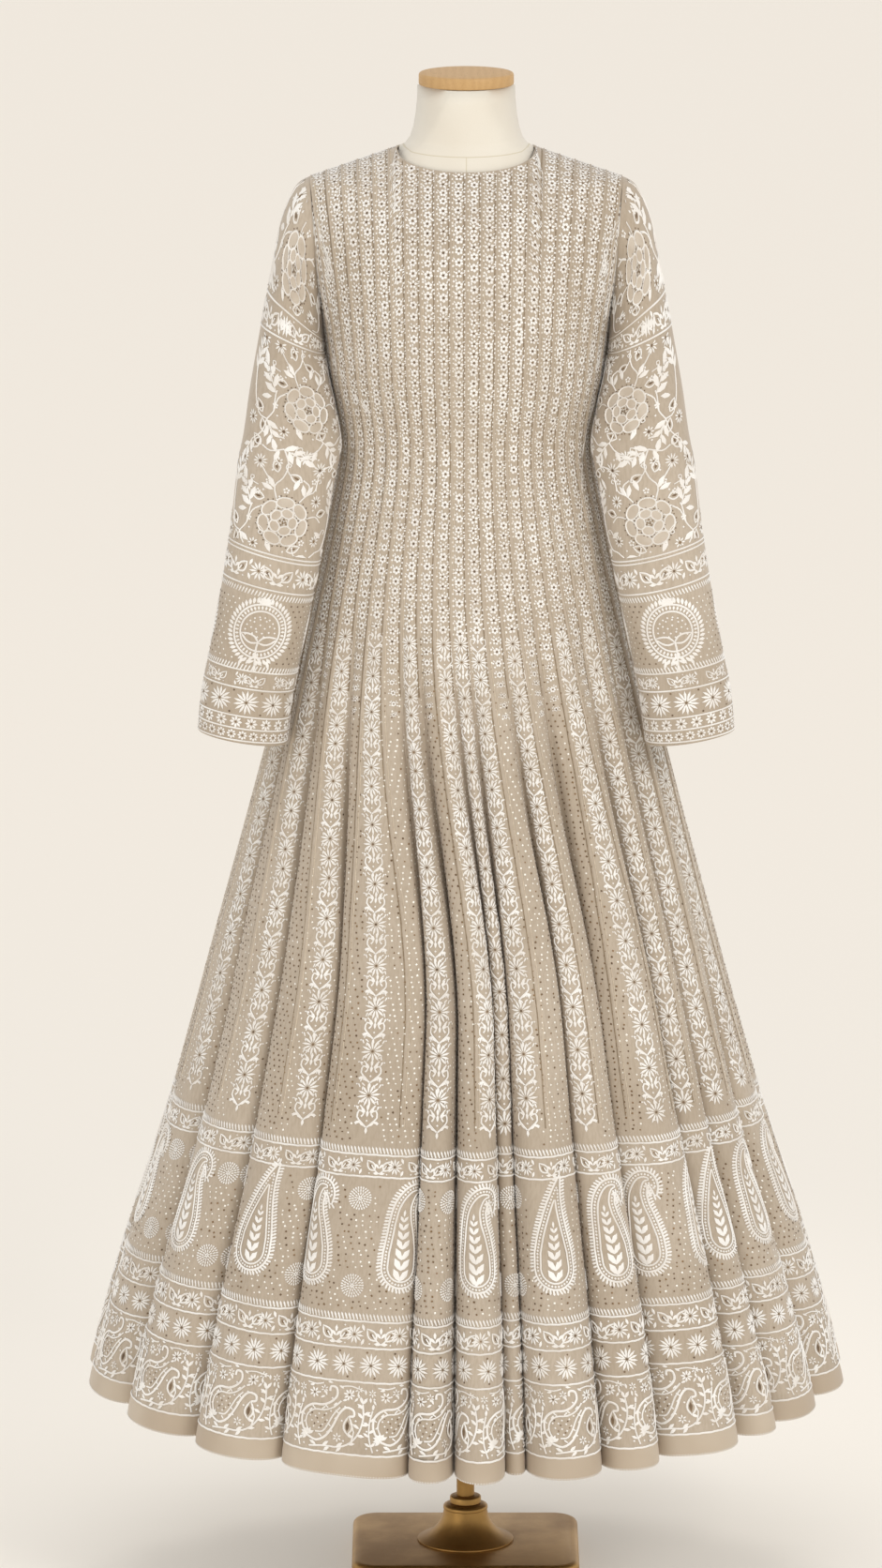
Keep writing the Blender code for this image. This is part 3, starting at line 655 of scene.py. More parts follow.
# ------------------------------------------------------------------ turned edges
# The neckline and the slit behind it are finished with a narrow rolled strip of the same
# cotton, and so is each cuff. The slit runs down the centre back from the neckline.
EDGE_RADIUS, SLIT_EDGE_RADIUS, CUFF_EDGE_RADIUS = 0.0011, 0.0009, 0.0012
SLIT_HALF, SLIT_FOOT = 0.0009, TOP - 0.085


def directions(path, closed=False):
    """Unit steps along a path of points."""
    if closed:
        along = np.roll(path, -1, axis=0) - np.roll(path, 1, axis=0)
    else:
        along = np.gradient(path, axis=0)
    return along / np.linalg.norm(along, axis=1, keepdims=True)


def rolled_edge(name, path, look, radius=EDGE_RADIUS, closed=False, sides=8):
    """A narrow round strip along a path."""
    along = directions(path, closed)
    aside = np.cross(along, (0.31, 0.17, 0.94))
    aside = aside / np.linalg.norm(aside, axis=1, keepdims=True)
    turns = np.linspace(0.0, 2 * np.pi, sides, endpoint=False)[None, :, None]
    grid = (path[:, None] + radius * (aside[:, None] * np.cos(turns)
                                      + np.cross(along, aside)[:, None] * np.sin(turns)))
    if closed:
        grid = np.concatenate((grid, grid[:1]))
    faces = quads(len(grid), sides, wrap=True)
    points = grid.reshape(-1, 3)
    if closed:
        faces = [tuple(k % (len(path) * sides) for k in face) for face in faces]
        points = points[:len(path) * sides]
    else:
        faces += [tuple(range(sides))[::-1], tuple(range(len(points) - sides, len(points)))]
    made = mesh_object(name, points, faces, look, 60.0)
    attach(made, "root")


neckline = []
for side, step in ((FRONT, 1), (BACK, -1)):
    columns = np.linspace(MID - NECK_COLUMNS, MID + NECK_COLUMNS, 60)[::step]
    points, normals = panel_surface(side)(columns, np.full(60, TOP - 0.0004))
    neckline.append((points - normals * CLOTH_THICK * 0.5)[:-1])
rolled_edge("neck_edge", np.concatenate(neckline), cloth_look, closed=True)
slit_rows = np.linspace(TOP - 0.002, SLIT_FOOT, 40)
for name, out in (("slit_edge_left", 1), ("slit_edge_right", -1)):
    points, normals = panel_surface(BACK)(np.full(40, MID), slit_rows)
    points = points + (out * (SLIT_HALF + 0.0006), 0.0, 0.0) + normals * SLIT_EDGE_RADIUS
    rolled_edge(name, points, cloth_look, SLIT_EDGE_RADIUS)


# ------------------------------------------------------------------ hem bands
# A plain doubled band of the same cotton, sewn below the embroidery of each panel.
band_look, start = new_look("band_cotton", linear(184, 168, 148), 0.72, sheen_weight=0.2)
slub = start.noise(500.0, detail=3.0, stretch=(1.0, 1.0, 0.2))
broad = start.noise(12.0, detail=2.0).clear(0.3, 0.7)
feed(band_look, "Base Color", broad.mix(linear(177, 160, 139), linear(190, 175, 155)))
feed(band_look, "Normal", slub.bump(0.25, 0.0004))


def make_band(name, side, node):
    """The band of one side, puffed a little between its seam and the hem's fold."""
    rows = np.linspace(HEM, HEM + HEM_BAND - 0.0003, 5)
    width = column_width(side, rows)
    column, row = np.linspace(0.0, COLUMNS, COLUMNS * 12 + 1), rows[:, None]
    puff = 0.0006 * np.sin(np.pi * (row - HEM) / HEM_BAND)
    outer, inner = (panel_grid(side, column, row, puff - CLOTH_THICK * depth)
                    for depth in (0.0, 1.1))
    made = two_skins(name, outer, inner, band_look)
    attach(made, "root")
    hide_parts(node)
    length = whole_length(outer[:, 0])
    float(width[0] * COLUMNS)


make_band("front_band", FRONT, "hem_band_front")
make_band("back_band", BACK, "hem_band_back")


# ------------------------------------------------------------------ sleeves
# Long fitted sleeves, each one piece of the same cotton with its seam under the arm, set
# into the armhole and falling a little bent at the elbow. The cuff end is open.
SLEEVE_GAP, SLEEVE_CLOSE = 0.0007, 0.0026
# x and z of the ring's inner and outer side, y of its middle, half its depth
SLEEVE = np.array((
    (0.1518, 1.3600, 0.1638, 1.5130, 0.000, 0.0430),
    (0.1520, 1.3572, 0.1790, 1.5030, 0.000, 0.0450),
    (0.1522, 1.3530, 0.1935, 1.4700, -0.003, 0.0470),
    (0.1522, 1.3460, 0.2035, 1.4220, -0.008, 0.0485),
    (0.1512, 1.3320, 0.2130, 1.3750, -0.017, 0.0495),
    (0.1475, 1.3060, 0.2210, 1.3320, -0.028, 0.0480),
    (0.1400, 1.2720, 0.2280, 1.2920, -0.040, 0.0470),
    (0.1345, 1.2364, 0.2335, 1.2530, -0.052, 0.0460),
    (0.1405, 1.2010, 0.2400, 1.2180, -0.062, 0.0450),
    (0.1520, 1.1390, 0.2478, 1.1550, -0.078, 0.0430),
    (0.1636, 1.0760, 0.2575, 1.0920, -0.089, 0.0420),
    (0.1747, 1.0177, 0.2685, 1.0330, -0.097, 0.0410),
    (0.1838, 0.9683, 0.2783, 0.9840, -0.102, 0.0405),
    (0.1893, 0.9280, 0.2822, 0.9431, -0.105, 0.0400),
))
RINGS = len(SLEEVE) - 1
# Turn round the sleeve, ring, half-width in radians, half-length in rings, lean, depth
SLEEVE_CREASES = (
    (4.1, 6.6, 0.50, 0.30, 0.5, 0.0030), (4.6, 7.5, 0.60, 0.26, 0.4, 0.0026),
    (3.7, 8.2, 0.45, 0.30, -0.3, 0.0020), (3.9, 4.4, 0.55, 0.40, 0.9, 0.0024),
    (2.2, 6.9, 0.55, 0.30, -0.5, 0.0028), (1.5, 7.8, 0.50, 0.28, 0.3, 0.0022),
    (5.3, 3.2, 0.40, 0.45, 0.8, -0.0014), (4.4, 10.4, 0.50, 0.30, 0.2, 0.0014),
)


def sleeve_rings(turn):
    """The left sleeve's rings at some turns: one more axis, of rings, before x, y, z."""
    turn = np.asarray(turn, dtype=float)[..., None]
    in_x, in_z, out_x, out_z, middle_y, deep = SLEEVE.T
    in_x = in_x - SLEEVE_CLOSE * np.interp(np.arange(RINGS + 1), (0, 1, 9, 11), (0, 1, 1, 0))
    x = (in_x + out_x) / 2 + (out_x - in_x) / 2 * np.cos(turn)
    z = (in_z + out_z) / 2 + (out_z - in_z) / 2 * np.cos(turn)
    y = middle_y + deep * np.sin(turn)
    rings = np.stack((x, y, z), axis=-1)
    edge_x = ARMHOLE_X + ARMHOLE_LEAN * np.cos(turn[..., 0])
    edge_z = ARMHOLE_Z + ARMHOLE_HIGH * np.cos(turn[..., 0])
    edge_y = np.where(np.sin(turn[..., 0]) > 0, section_depth(BACK, edge_x, edge_z),
                      section_depth(FRONT, edge_x, edge_z))
    rings[..., 0, :] = np.stack((edge_x + SLEEVE_GAP, edge_y, edge_z), axis=-1)
    return rings


def curve_between(before, low, high, after, t):
    """A point from low to high as t goes from 0 to 1, on a smooth curve through all four."""
    return low + 0.5 * t * (high - before + t * (2 * before - 5 * low + 4 * high - after
                                                 + t * (3 * (low - high) + after - before)))


def sleeve_point(turn, ring):
    """A point of the left sleeve, on smooth curves through its rings."""
    turn, ring = np.broadcast_arrays(np.asarray(turn, float), np.asarray(ring, float))
    rings = sleeve_rings(turn)
    k = np.clip(np.floor(ring).astype(int), 0, RINGS - 1)
    t = (ring - k)[..., None]

    def at(index):
        index = np.clip(index, 0, RINGS)[..., None, None]
        return np.take_along_axis(rings, index, axis=-2)[..., 0, :]

    before, low, high, after = at(k - 1), at(k), at(k + 1), at(k + 2)
    point = curve_between(before, low, high, after, t)
    inward = np.stack((-np.cos(turn), -np.sin(turn), 0.0 * turn), axis=-1)
    depth = np.zeros(turn.shape)
    for round_at, middle, half, long, lean, deep in SLEEVE_CREASES:
        away = (turn - round_at + np.pi) % (2 * np.pi) - np.pi
        across = (ring - middle - lean * away) / long
        depth = depth + deep * np.exp(-(away / half) ** 2 - across ** 2)
    return point + inward * depth[..., None]


def sleeve_surface(turn, ring):
    """Points and outward normals of the left sleeve."""
    around = sleeve_point(turn + 0.01, ring) - sleeve_point(turn - 0.01, ring)
    down = (sleeve_point(turn, np.minimum(ring + 0.02, RINGS))
            - sleeve_point(turn, np.maximum(ring - 0.02, 0.0)))
    normal = np.cross(down, around)
    normal = normal / np.linalg.norm(normal, axis=-1, keepdims=True)
    return sleeve_point(turn, ring), normal


def make_sleeve(name, mirror, node):
    """A sleeve: mirror is 1 for the wearer's left and -1 for the right."""
    grids = []
    for sides, rings, lift in ((88, 105, 0.0), (36, 40, -CLOTH_THICK)):
        turn = np.linspace(0.0, 2 * np.pi, sides, endpoint=False)[None, :]
        ring = np.linspace(0.0, RINGS, rings)[:, None]
        points, normals = sleeve_surface(turn, ring)
        grids.append((points + normals * lift) * (mirror, 1.0, 1.0))
    outer, inner = grids
    made = two_skins(name, outer, inner, cloth_look, wrap=True)
    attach(made, "root")
    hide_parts(node)
    around = np.linalg.norm(np.roll(outer, 1, axis=1) - outer, axis=-1).sum(axis=1)
    length = whole_length(outer)
    float(around.mean() * length.mean())


for word, mirror in (("left", 1), ("right", -1)):
    make_sleeve("sleeve_cloth_" + word, mirror, "sleeve_" + word)
    points, normals = sleeve_surface(np.linspace(0.0, 2 * np.pi, 60, endpoint=False),
                                     np.full(60, RINGS - 0.008))
    cuff = (points - normals * CLOTH_THICK * 0.5) * (mirror, 1.0, 1.0)
    rolled_edge("cuff_edge_" + word, cuff, cloth_look, CUFF_EDGE_RADIUS, closed=True)


# ------------------------------------------------------------------ small flowers of the bodice
# Shadow-work flowers of six petals in white cotton thread, each round a pricked eyelet, one
# above another down the middle of every column, with a pair of short stitches between two.
# All motifs are drawn flat in millimetres, x across and y up, and then sewn on the cloth.
LIFT = 0.0002

thread_look, start = new_look("white_thread", linear(240, 236, 228), 0.6, sheen_weight=0.3)
strand = start.noise(800.0, detail=2.0)
tone = start.noise(30.0, detail=1.0).clear(0.3, 0.7)
feed(thread_look, "Base Color", tone.mix(linear(227, 221, 213), linear(241, 238, 233)))
feed(thread_look, "Normal", strand.bump(0.35, 0.0004))

# The pricked holes and the cut middles of leaves are dark brown patches: painted shade where the
# holes are. The same brown also serves for dark knots and dots.
eyelet_look, start = new_look("eyelet_shade", linear(112, 90, 66), 0.7)
feed(eyelet_look, "Base Color",
     start.noise(60.0).clear(0.3, 0.7).mix(linear(92, 72, 52), linear(132, 109, 82)))


def joined(*motifs):
    """One motif from several."""
    starts = np.cumsum([0] + [len(points) for points, _ in motifs])
    return (np.concatenate([points for points, _ in motifs]),
            np.concatenate([faces + start for (_, faces), start in zip(motifs, starts)]))


def moved(motif, x=0.0, y=0.0, turn=0.0, size=1.0, mirror=1):
    """A motif turned by degrees, sized and moved; mirror -1 swaps its left and right."""
    points, faces = motif
    cosine, sine = math.cos(math.radians(turn)), math.sin(math.radians(turn))
    flat_x, flat_y = points[:, 0] * size * mirror, points[:, 1] * size
    points = np.stack((x + flat_x * cosine - flat_y * sine, y + flat_x * sine + flat_y * cosine,
                       points[:, 2]), axis=1)
    return points, faces if mirror == 1 else faces[:, ::-1]


def scattered(one, places):
    """Copies of a motif at places given as x, y, a turn in degrees and a size."""
    return joined(*[moved(one, *place) for place in places])


def both(*places):
    """Places of x, y and a turn, and the same places mirrored."""
    return [*places, *[(-x, y, -turn) for x, y, turn in places]]


def turned_round(one, many, shift=0.0):
    """Copies of a motif turned evenly round its origin."""
    return scattered(one, [(0, 0, 360.0 * (k + shift) / many) for k in range(many)])


def mound(outline, middle):
    """A raised patch from the points of its outline and one in its middle."""
    count = len(outline)
    return (np.array([*outline, middle], float),
            np.array([(k, (k + 1) % count, count) for k in range(count)]))


def petal(long, wide, high=0.7, start=0.0):
    """A filled petal that points up, from start to start + long."""
    outline = ((0, 0), (0.36, 0.25), (0.5, 0.6), (0, 1), (-0.5, 0.6), (-0.36, 0.25))
    return mound([(wide * x, start + long * y, 0) for x, y in outline],
                 (0, start + long * 0.55, high))


def stitch(long, wide=1.1, high=0.6, start=0.0):
    """One short straight stitch that points up."""
    outline = ((-1 / 3, 0), (1 / 3, 0), (0.5, 0.7), (0, 1), (-0.5, 0.7))
    return mound([(wide * x, start + long * y, 0) for x, y in outline],
                 (0, start + long * 0.5, high))


def knot(radius, high=0.7, sides=4):
    """A round knot, bead or pricked hole."""
    turns = 2 * np.pi * np.arange(sides) / sides
    return mound([(radius * math.cos(t), radius * math.sin(t), 0) for t in turns], (0, 0, high))


def line(path, wide=1.0, high=0.6, closed=False):
    """A line of stitches along a path of x and y."""
    path = np.asarray(path, float)
    count = len(path)
    aside = directions(path, closed)[:, ::-1] * (1, -1) * wide / 2
    points = np.zeros((3, count, 3))
    points[:, :, :2] = path - aside, path, path + aside
    points[1, :, 2] = high
    faces = []
    for start in (0, count):
        for k in range(start, start + count - (not closed)):
            n = start + (k + 1) % count
            faces += [(k, count + k, count + n), (k, count + n, n)]
    return points.reshape(-1, 3), np.array(faces)


def bend(corners, steps=4, closed=False):
    """A smooth path through a few corners."""
    path = np.asarray(corners, float)
    if closed:
        ends = np.concatenate((path[-1:], path, path[:2]))
    else:
        ends = np.concatenate((2 * path[:1] - path[1:2], path, 2 * path[-1:] - path[-2:-1]))
    smooth = [curve_between(*four, t) for four in zip(ends, ends[1:], ends[2:], ends[3:])
              for t in np.arange(steps) / steps]
    return np.array(smooth if closed else [*smooth, path[-1]])


def vine(corners, wide=1.6, high=0.8, steps=3):
    """A smooth line of stitches through a few corners."""
    return line(bend(corners, steps), wide, high)


def flower(petals, inner, long, wide, high=0.7):
    """Petals all round an open middle."""
    return turned_round(petal(long, wide, high, inner), petals)


class Needlework:
    """Copies of motifs sewn on one cloth, gathered into one mesh."""

    def __init__(self, surface, spread=None):
        self.surface, self.spread = surface, spread
        self.points, self.faces, self.count = [], [], 0

    def sew(self, motif, first, second, turn=0.0, size=1.0, spread=None, keep=None):
        """Sew a motif at places on the cloth, each turned by degrees and sized.

        keep tells which places across and up the cloth stay free for these stitches.
        """
        points, faces = motif
        first, second, turn, size = (np.atleast_1d(np.asarray(a, float))[:, None]
                                     for a in (first, second, turn, size))
        cosine, sine = np.cos(np.radians(turn)), np.sin(np.radians(turn))
        x = 0.001 * size * (points[:, 0] * cosine - points[:, 1] * sine)
        y = 0.001 * size * (points[:, 0] * sine + points[:, 1] * cosine)
        x, y, first, second = np.broadcast_arrays(x, y, first, second)
        across, up = (spread or self.spread)(first, second, x, y)
        place, normal = self.surface(across, up)
        place = place + normal * (LIFT + 0.001 * points[:, 2])[None, :, None]
        copies, corners = x.shape
        self.points.append(place.reshape(-1, 3))
        sewn = (faces[None] + corners * np.arange(copies)[:, None, None]).reshape(-1, 3)
        if keep is not None:
            sewn = sewn[keep(across, up).reshape(-1)[sewn].all(axis=1)]
        self.faces.append(sewn + self.count)
        self.count += copies * corners

    def finish(self, name, look, slot, mirror=1):
        """The gathered stitches as one object that rides with the gown."""
        used, faces = np.unique(np.concatenate(self.faces), return_inverse=True)
        points = np.concatenate(self.points)[used] * (mirror, 1.0, 1.0)
        faces = faces.reshape(-1, 3)
        made = mesh_object(name, points, faces if mirror == 1 else faces[:, ::-1], look, 70.0)
        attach(made, "root")


def column_lengths(side, column):
    """Rows from the hem to the top edge, and the length of cloth up a column to each."""
    rows = np.linspace(HEM, TOP, 1500)
    return rows, running_length(panel_point(side, column, rows))


def on_column(side, middle):
    """Across and up from a place given as column and row, both measured on the cloth."""
    rows, lengths = column_lengths(side, middle)

    def spread(column, row, x, y):
        across = (panel_point(side, column + 0.05, row)
                  - panel_point(side, column - 0.05, row)) / 0.1
        top, low = np.minimum(row + 0.004, TOP), row - 0.004
        up = panel_point(side, column, top) - panel_point(side, column, low)
        lean = (across * up).sum(axis=-1) / np.linalg.norm(up, axis=-1)
        width = np.sqrt(np.maximum((across ** 2).sum(axis=-1) - lean ** 2, 1e-6))
        step = -side * x / width
        along = np.interp(row, rows, lengths) + y - lean * step
        return np.clip(column + step, 0.0, COLUMNS), np.interp(along, lengths, rows)
    return spread


def places_up(side, column, low, short, gaps):
    """Rows up a column from low to a row or short of the top edge, spaced as gaps gives."""
    rows, lengths = column_lengths(side, column)
    at, end = (float(np.interp(row, rows, lengths)) for row in (low, min(short, TOP)))
    if short > TOP:
        end -= short - TOP
    found = []
    while at < end:
        found.append(at)
        at += gaps(float(np.interp(at, lengths, rows)))
    found = np.array(found)
    found = found[0] + (found - found[0]) * (end - found[0]) / (found[-1] - found[0])
    return np.interp(found, lengths, rows)


def daisy_columns(side):
    """The column of each fold of the skirt that carries its daisies."""
    starts = fold_starts(side)[:-1]
    wide = FOLDS[side][:, 0]
    inner = np.where(starts + wide / 2 > MID, 0, 1)
    return [int(s) + (1 if w == 3 else 0 if w == 1 else i) for s, w, i in zip(starts, wide, inner)]


FLOWER_GAP = 0.0103
FLOWERS_FOOT = 1.052
full_flower = joined(
    flower(6, 1.25, 3.6, 3.3, 0.8), scattered(stitch(3.4, 1.5), both((3.6, 3.4, -24))),
    scattered(knot(1.45, 0.8, 5),
              ((6.5, -3.2, 6), (-6.6, -2.4, -6), (6.3, 2.2, -10), (-6.4, 3, 10))))
loose_flower = joined(
    flower(5, 1.35, 3.5, 3.1, 0.8),
    scattered(stitch(2.8, 1.5),
              ((4.3, 1, -70), (-4.3, 1.6, 64), (2.2, 4.6, -40), (-2.6, 4.2, 30))),
    scattered(knot(1.4, 0.8, 5), ((6.6, -1, 16), (-6.5, -2.8, -12), (6.1, 3.6, -24))))
small_hole = knot(1.3, 0.25, 6)
works, eyelets = {}, {}
rng = np.random.default_rng(11)
for side in (FRONT, BACK):
    works[side] = Needlework(panel_surface(side))
    eyelets[side] = Needlework(panel_surface(side))
    for k in range(COLUMNS):
        column, spread = k + 0.5, on_column(side, k + 0.5)
        foot = FLOWERS_FOOT + 0.004 * (k % 2) - (0.0 if k in daisy_columns(side) else 0.085)
        rows = places_up(side, column, foot, TOP + 0.0055,
                         lambda row: FLOWER_GAP * rng.uniform(0.92, 1.20))
        room = np.interp(rows, (0.97, 1.05, 1.235, 1.325), (0.55, 0.95, 0.92, 1.0))
        column = column + rng.normal(0.0, 0.014, len(rows))
        room = room * rng.uniform(0.90, 1.08, len(rows))
        turns = rng.normal(0.0, 14.0, len(rows))
        full = rng.random(len(rows)) < 0.62
        for motif, picked in ((full_flower, full), (loose_flower, ~full)):
            works[side].sew(motif, column[picked], rows[picked], turns[picked], room[picked],
                            spread)
        eyelets[side].sew(small_hole, column, rows, size=room, spread=spread)


# ------------------------------------------------------------------ painted shade and highlight beside the tucks
# A dark beige line like a running stitch runs beside one foot of each tuck, from the border
# to the top edge: painted shade on the side away from the light. A pale line like a
# couched cord beside the other foot is a painted highlight on the lit side.
shade_look, start = new_look("tuck_painted_shade", linear(140, 122, 98), 0.75)
feed(shade_look, "Base Color",
     start.noise(300.0).clear(0.35, 0.65).mix(linear(128, 110, 86), linear(150, 132, 108)))
# The pale line beside each tuck: a painted highlight.
tuck_highlight_look, start = new_look("tuck_painted_highlight", linear(205, 190, 168), 0.7)
feed(tuck_highlight_look, "Base Color",
     start.noise(300.0).clear(0.35, 0.65).mix(linear(197, 182, 159), linear(214, 200, 179)))


def on_seam(side, middle):
    """Across and up from a place on a tuck, following the tuck however far up it goes."""
    rows, lengths = column_lengths(side, middle)

    def spread(column, row, x, y):
        up = np.interp(np.interp(row, rows, lengths) + y, lengths, rows)
        across = panel_point(side, column + 0.04, up) - panel_point(side, column - 0.04, up)
        return column - side * x / (np.linalg.norm(across, axis=-1) / 0.08), up
    return spread


for side, word in ((FRONT, "front"), (BACK, "back")):
    shade, highlight_line = Needlework(panel_surface(side)), Needlework(panel_surface(side))
    for k in range(1, COLUMNS):
        low = 0.985 if k in fold_starts(side) else 0.55
        rows, lengths = column_lengths(side, float(k))
        long = 1000.0 * (lengths[-1] - float(np.interp(low, rows, lengths))) - 3.0
        steps = np.linspace(0.0, long, 100)
        # The dark line on the -X side is painted shade, the pale one on the +X side a painted
        # highlight.
        for work, wide, x in ((shade, 1.2, -2.6), (highlight_line, 0.8, 2.5)):
            path = np.stack((x + 0.15 * np.sin(steps * 0.11 + k), steps), axis=1)
            work.sew(line(path, wide, 0.4), float(k), low, spread=on_seam(side, float(k)))
    shade.finish(word + "_tuck_shade_lines", shade_look, "cloth")
    highlight_line.finish(word + "_tuck_highlight_lines", tuck_highlight_look, "cloth")


# ------------------------------------------------------------------ daisy columns of the skirt
# Below the bodice's flowers each column carries long-petalled daisies, larger towards the
# hem, with a spray of curled stems and leaves between them. White thread, satin stitch.
SLOPE = 0.967  # height gained for each metre of cloth
ARC_ROWS = np.linspace(HEM, FOLD_TOP, 100)
ARC_SHARES = np.linspace(0.0, 1.0, 627)


def arc_table(side):
    """Length of each row of the panel, and the column at even shares of that length."""
    columns = np.linspace(0.0, COLUMNS, COLUMNS * 24 + 1)
    lengths = running_length(panel_point(side, columns, ARC_ROWS[:, None]), axis=1)
    shares = [np.interp(ARC_SHARES * row[-1], row, columns) for row in lengths]
    return lengths[:, -1], np.array(shares)


def on_rows(side):
    """Across and up from a place given as a share of the row's length, and the row."""
    lengths, columns = arc_table(side)

    def share_of(column, row):
        j = np.clip(np.searchsorted(ARC_ROWS, row), 0, len(ARC_ROWS) - 1)
        return np.array([np.interp(c, columns[k], ARC_SHARES) for c, k in zip(column, j)])

    def spread(share, row, x, y):
        up = row + y * SLOPE
        share = share - side * x / np.interp(up, ARC_ROWS, lengths)
        j = np.clip((up - ARC_ROWS[0]) / (ARC_ROWS[1] - ARC_ROWS[0]), 0, len(ARC_ROWS) - 1.001)
        i = np.clip(share, 0.0, 1.0) * (len(ARC_SHARES) - 1.001)
        j0, i0 = j.astype(int), i.astype(int)
        dj, di = j - j0, i - i0
        column = ((1 - dj) * ((1 - di) * columns[j0, i0] + di * columns[j0, i0 + 1])
                  + dj * ((1 - di) * columns[j0 + 1, i0] + di * columns[j0 + 1, i0 + 1]))
        return column, up
    return spread, lengths, share_of


DAISY_FOOT, DAISY_GAP = 0.552, 0.0205
daisy = joined(flower(12, 1.9, 9.6, 2.2, 0.9),
               scattered(stitch(3, 1.3), [(8.2 * math.cos(turn), 8.2 * math.sin(turn))
                                          for turn in np.radians((45, 135, 225, 315))]))
beside = joined(scattered(stitch(4.4, 1.5), both((9, -3, -28), (9.4, 2.2, 20), (4.6, -1.4, -50))),
                scattered(knot(1), both((12.4, 0, 0), (6.6, 4.4, 0))))
curl = vine(((0.5, -8.5), (4.6, -4.5), (9, 0.5), (7.6, 6.4), (3.2, 4.2), (5.4, 0.8)), 1.6, 0.7, 2)
cluster = joined(
    curl, moved(curl, mirror=-1),
    scattered(petal(6.6, 2.6, 0.8), [*both((1, -7.5, -62), (1.8, 4.6, -42), (5, -3.6, -100)),
                                     (0, 0.6), (0, 6), (0, -8, 180)]),
    scattered(knot(1.1), [*both((9.6, -5.4, 0), (9, 9.4, 0)), (0, -2.6)]))


def daisy_gap(row):
    """Distance from daisy to daisy, smaller higher up."""
    return float(np.interp(row, (0.55, 0.80, 1.05), (0.0232, DAISY_GAP, 0.0178)))


def daisy_axis(side, k, row):
    """The line the daisies of a column keep to, drawn towards the crest of their fold."""
    starts = fold_starts(side)
    fold = int(np.searchsorted(starts, k, side="right")) - 1
    crest = (starts[fold] + starts[fold + 1]) / 2
    lean = np.clip(crest - k - 0.5, -0.2, 0.2)
    return k + 0.5 + lean * soft_step((1.0 - np.asarray(row)) / 0.35)


arcs, arc_lengths, shares = {}, {}, {}
for side in (FRONT, BACK):
    arcs[side], arc_lengths[side], shares[side] = on_rows(side)
    for k in daisy_columns(side):
        rows = places_up(side, k + 0.5, DAISY_FOOT + 0.006 * (k % 2), FLOWERS_FOOT - 0.011,
                         daisy_gap)
        sizes = np.array([daisy_gap(row) for row in rows]) / DAISY_GAP
        leafy = (np.arange(len(rows)) + k) % np.where(rows > 0.80, 3, 2) == 1
        share = shares[side](daisy_axis(side, k, rows), rows)
        turns = rng.uniform(0.0, 30.0, len(rows))
        for work, motif, picked, size in ((works[side], daisy, ~leafy, sizes),
                                          (works[side], cluster, leafy, sizes * 1.05),
                                          (eyelets[side], small_hole, ~leafy, sizes)):
            work.sew(motif, share[picked], rows[picked], turns[picked] * (motif is daisy),
                     size[picked], spread=arcs[side])
        halves = (rows[1:] + rows[:-1]) / 2
        works[side].sew(beside, (share[1:] + share[:-1]) / 2, halves, 0.0,
                        (sizes[1:] + sizes[:-1]) / 2, spread=arcs[side])


# ------------------------------------------------------------------ dots of beaten wire
# Tiny dots of flattened metal wire in a slanting grid between the columns, and between the
# paisleys of the border. They are silver on the lit half of each fold and bronze on its
# shaded half, painted light and shade, with some swapped at random.
DOT_ROWS, DOT_GAP = 0.0058, 0.0078
# Heights above the hem's edge in mm: the lowest dots, the middle of the paisleys and of the
# discs, half way between two discs' heights, the border's top, and the band without dots
DOTS_FOOT, PAISLEYS, DISCS, DISC_STEP, BORDER_TOP = 178.0, 240.0, 245.5, 0.044, 310.0
NO_DOTS = (308.0, 350.0)
# A gap between paisleys takes three discs or one, the outer two this far from the paisleys
WIDE_GAP, SMALL_GAP, DISC_IN = 0.135, 0.082, 0.046
# Clear width beside a paisley at heights in mm above the hem's edge
PAISLEY_CLEAR = ((194.0, 199.0, 211.0, 221.0, 241.0, 281.0, 306.0),
                 (0.002, 0.013, 0.026, 0.030, 0.029, 0.026, 0.025))


def band_row(up):
    """The row at a distance in millimetres up from the hem's edge, on the sloping cloth."""
    return HEM + 0.001 * SLOPE * up


def row_length(side, row):
    """Length of cloth round a panel at a row."""
    return np.interp(row, ARC_ROWS, arc_lengths[side])


silver_look, start = new_look("silver_wire", linear(244, 240, 230), 0.35, metallic=0.35)
feed(silver_look, "Roughness", 0.28 + start.noise(400.0).clear(0.3, 0.7) * 0.2)
# The bronze is mostly painted shade: it goes chiefly on the shaded half of each fold.
shaded_bronze_look, start = new_look("bronze_wire_painted_shade", linear(112, 86, 56), 0.4, metallic=0.5)
feed(shaded_bronze_look, "Base Color",
     start.noise(200.0).clear(0.35, 0.65).mix(linear(88, 66, 42), linear(136, 108, 74)))


def border_places(side):
    """Shares of the row for the paisleys, on the folds' crests, and for the discs between."""
    columns = []
    for start, wide in zip(fold_starts(side)[:-1], FOLDS[side][:, 0]):
        columns += {1: [], 2: [start + 0.95], 3: [start + 0.9, start + 2.15]}[int(wide)]
    columns = np.array(columns)
    paisleys = shares[side](columns, np.full(len(columns), band_row(PAISLEYS)))
    length = row_length(side, band_row(PAISLEYS))
    discs = []
    for low, high in zip(paisleys[:-1], paisleys[1:]):
        gap = (high - low) * length
        if gap > WIDE_GAP:
            discs += [low + DISC_IN / length, (low + high) / 2, high - DISC_IN / length]
        elif gap > SMALL_GAP:
            discs.append((low + high) / 2)
    return paisleys, np.array(discs)


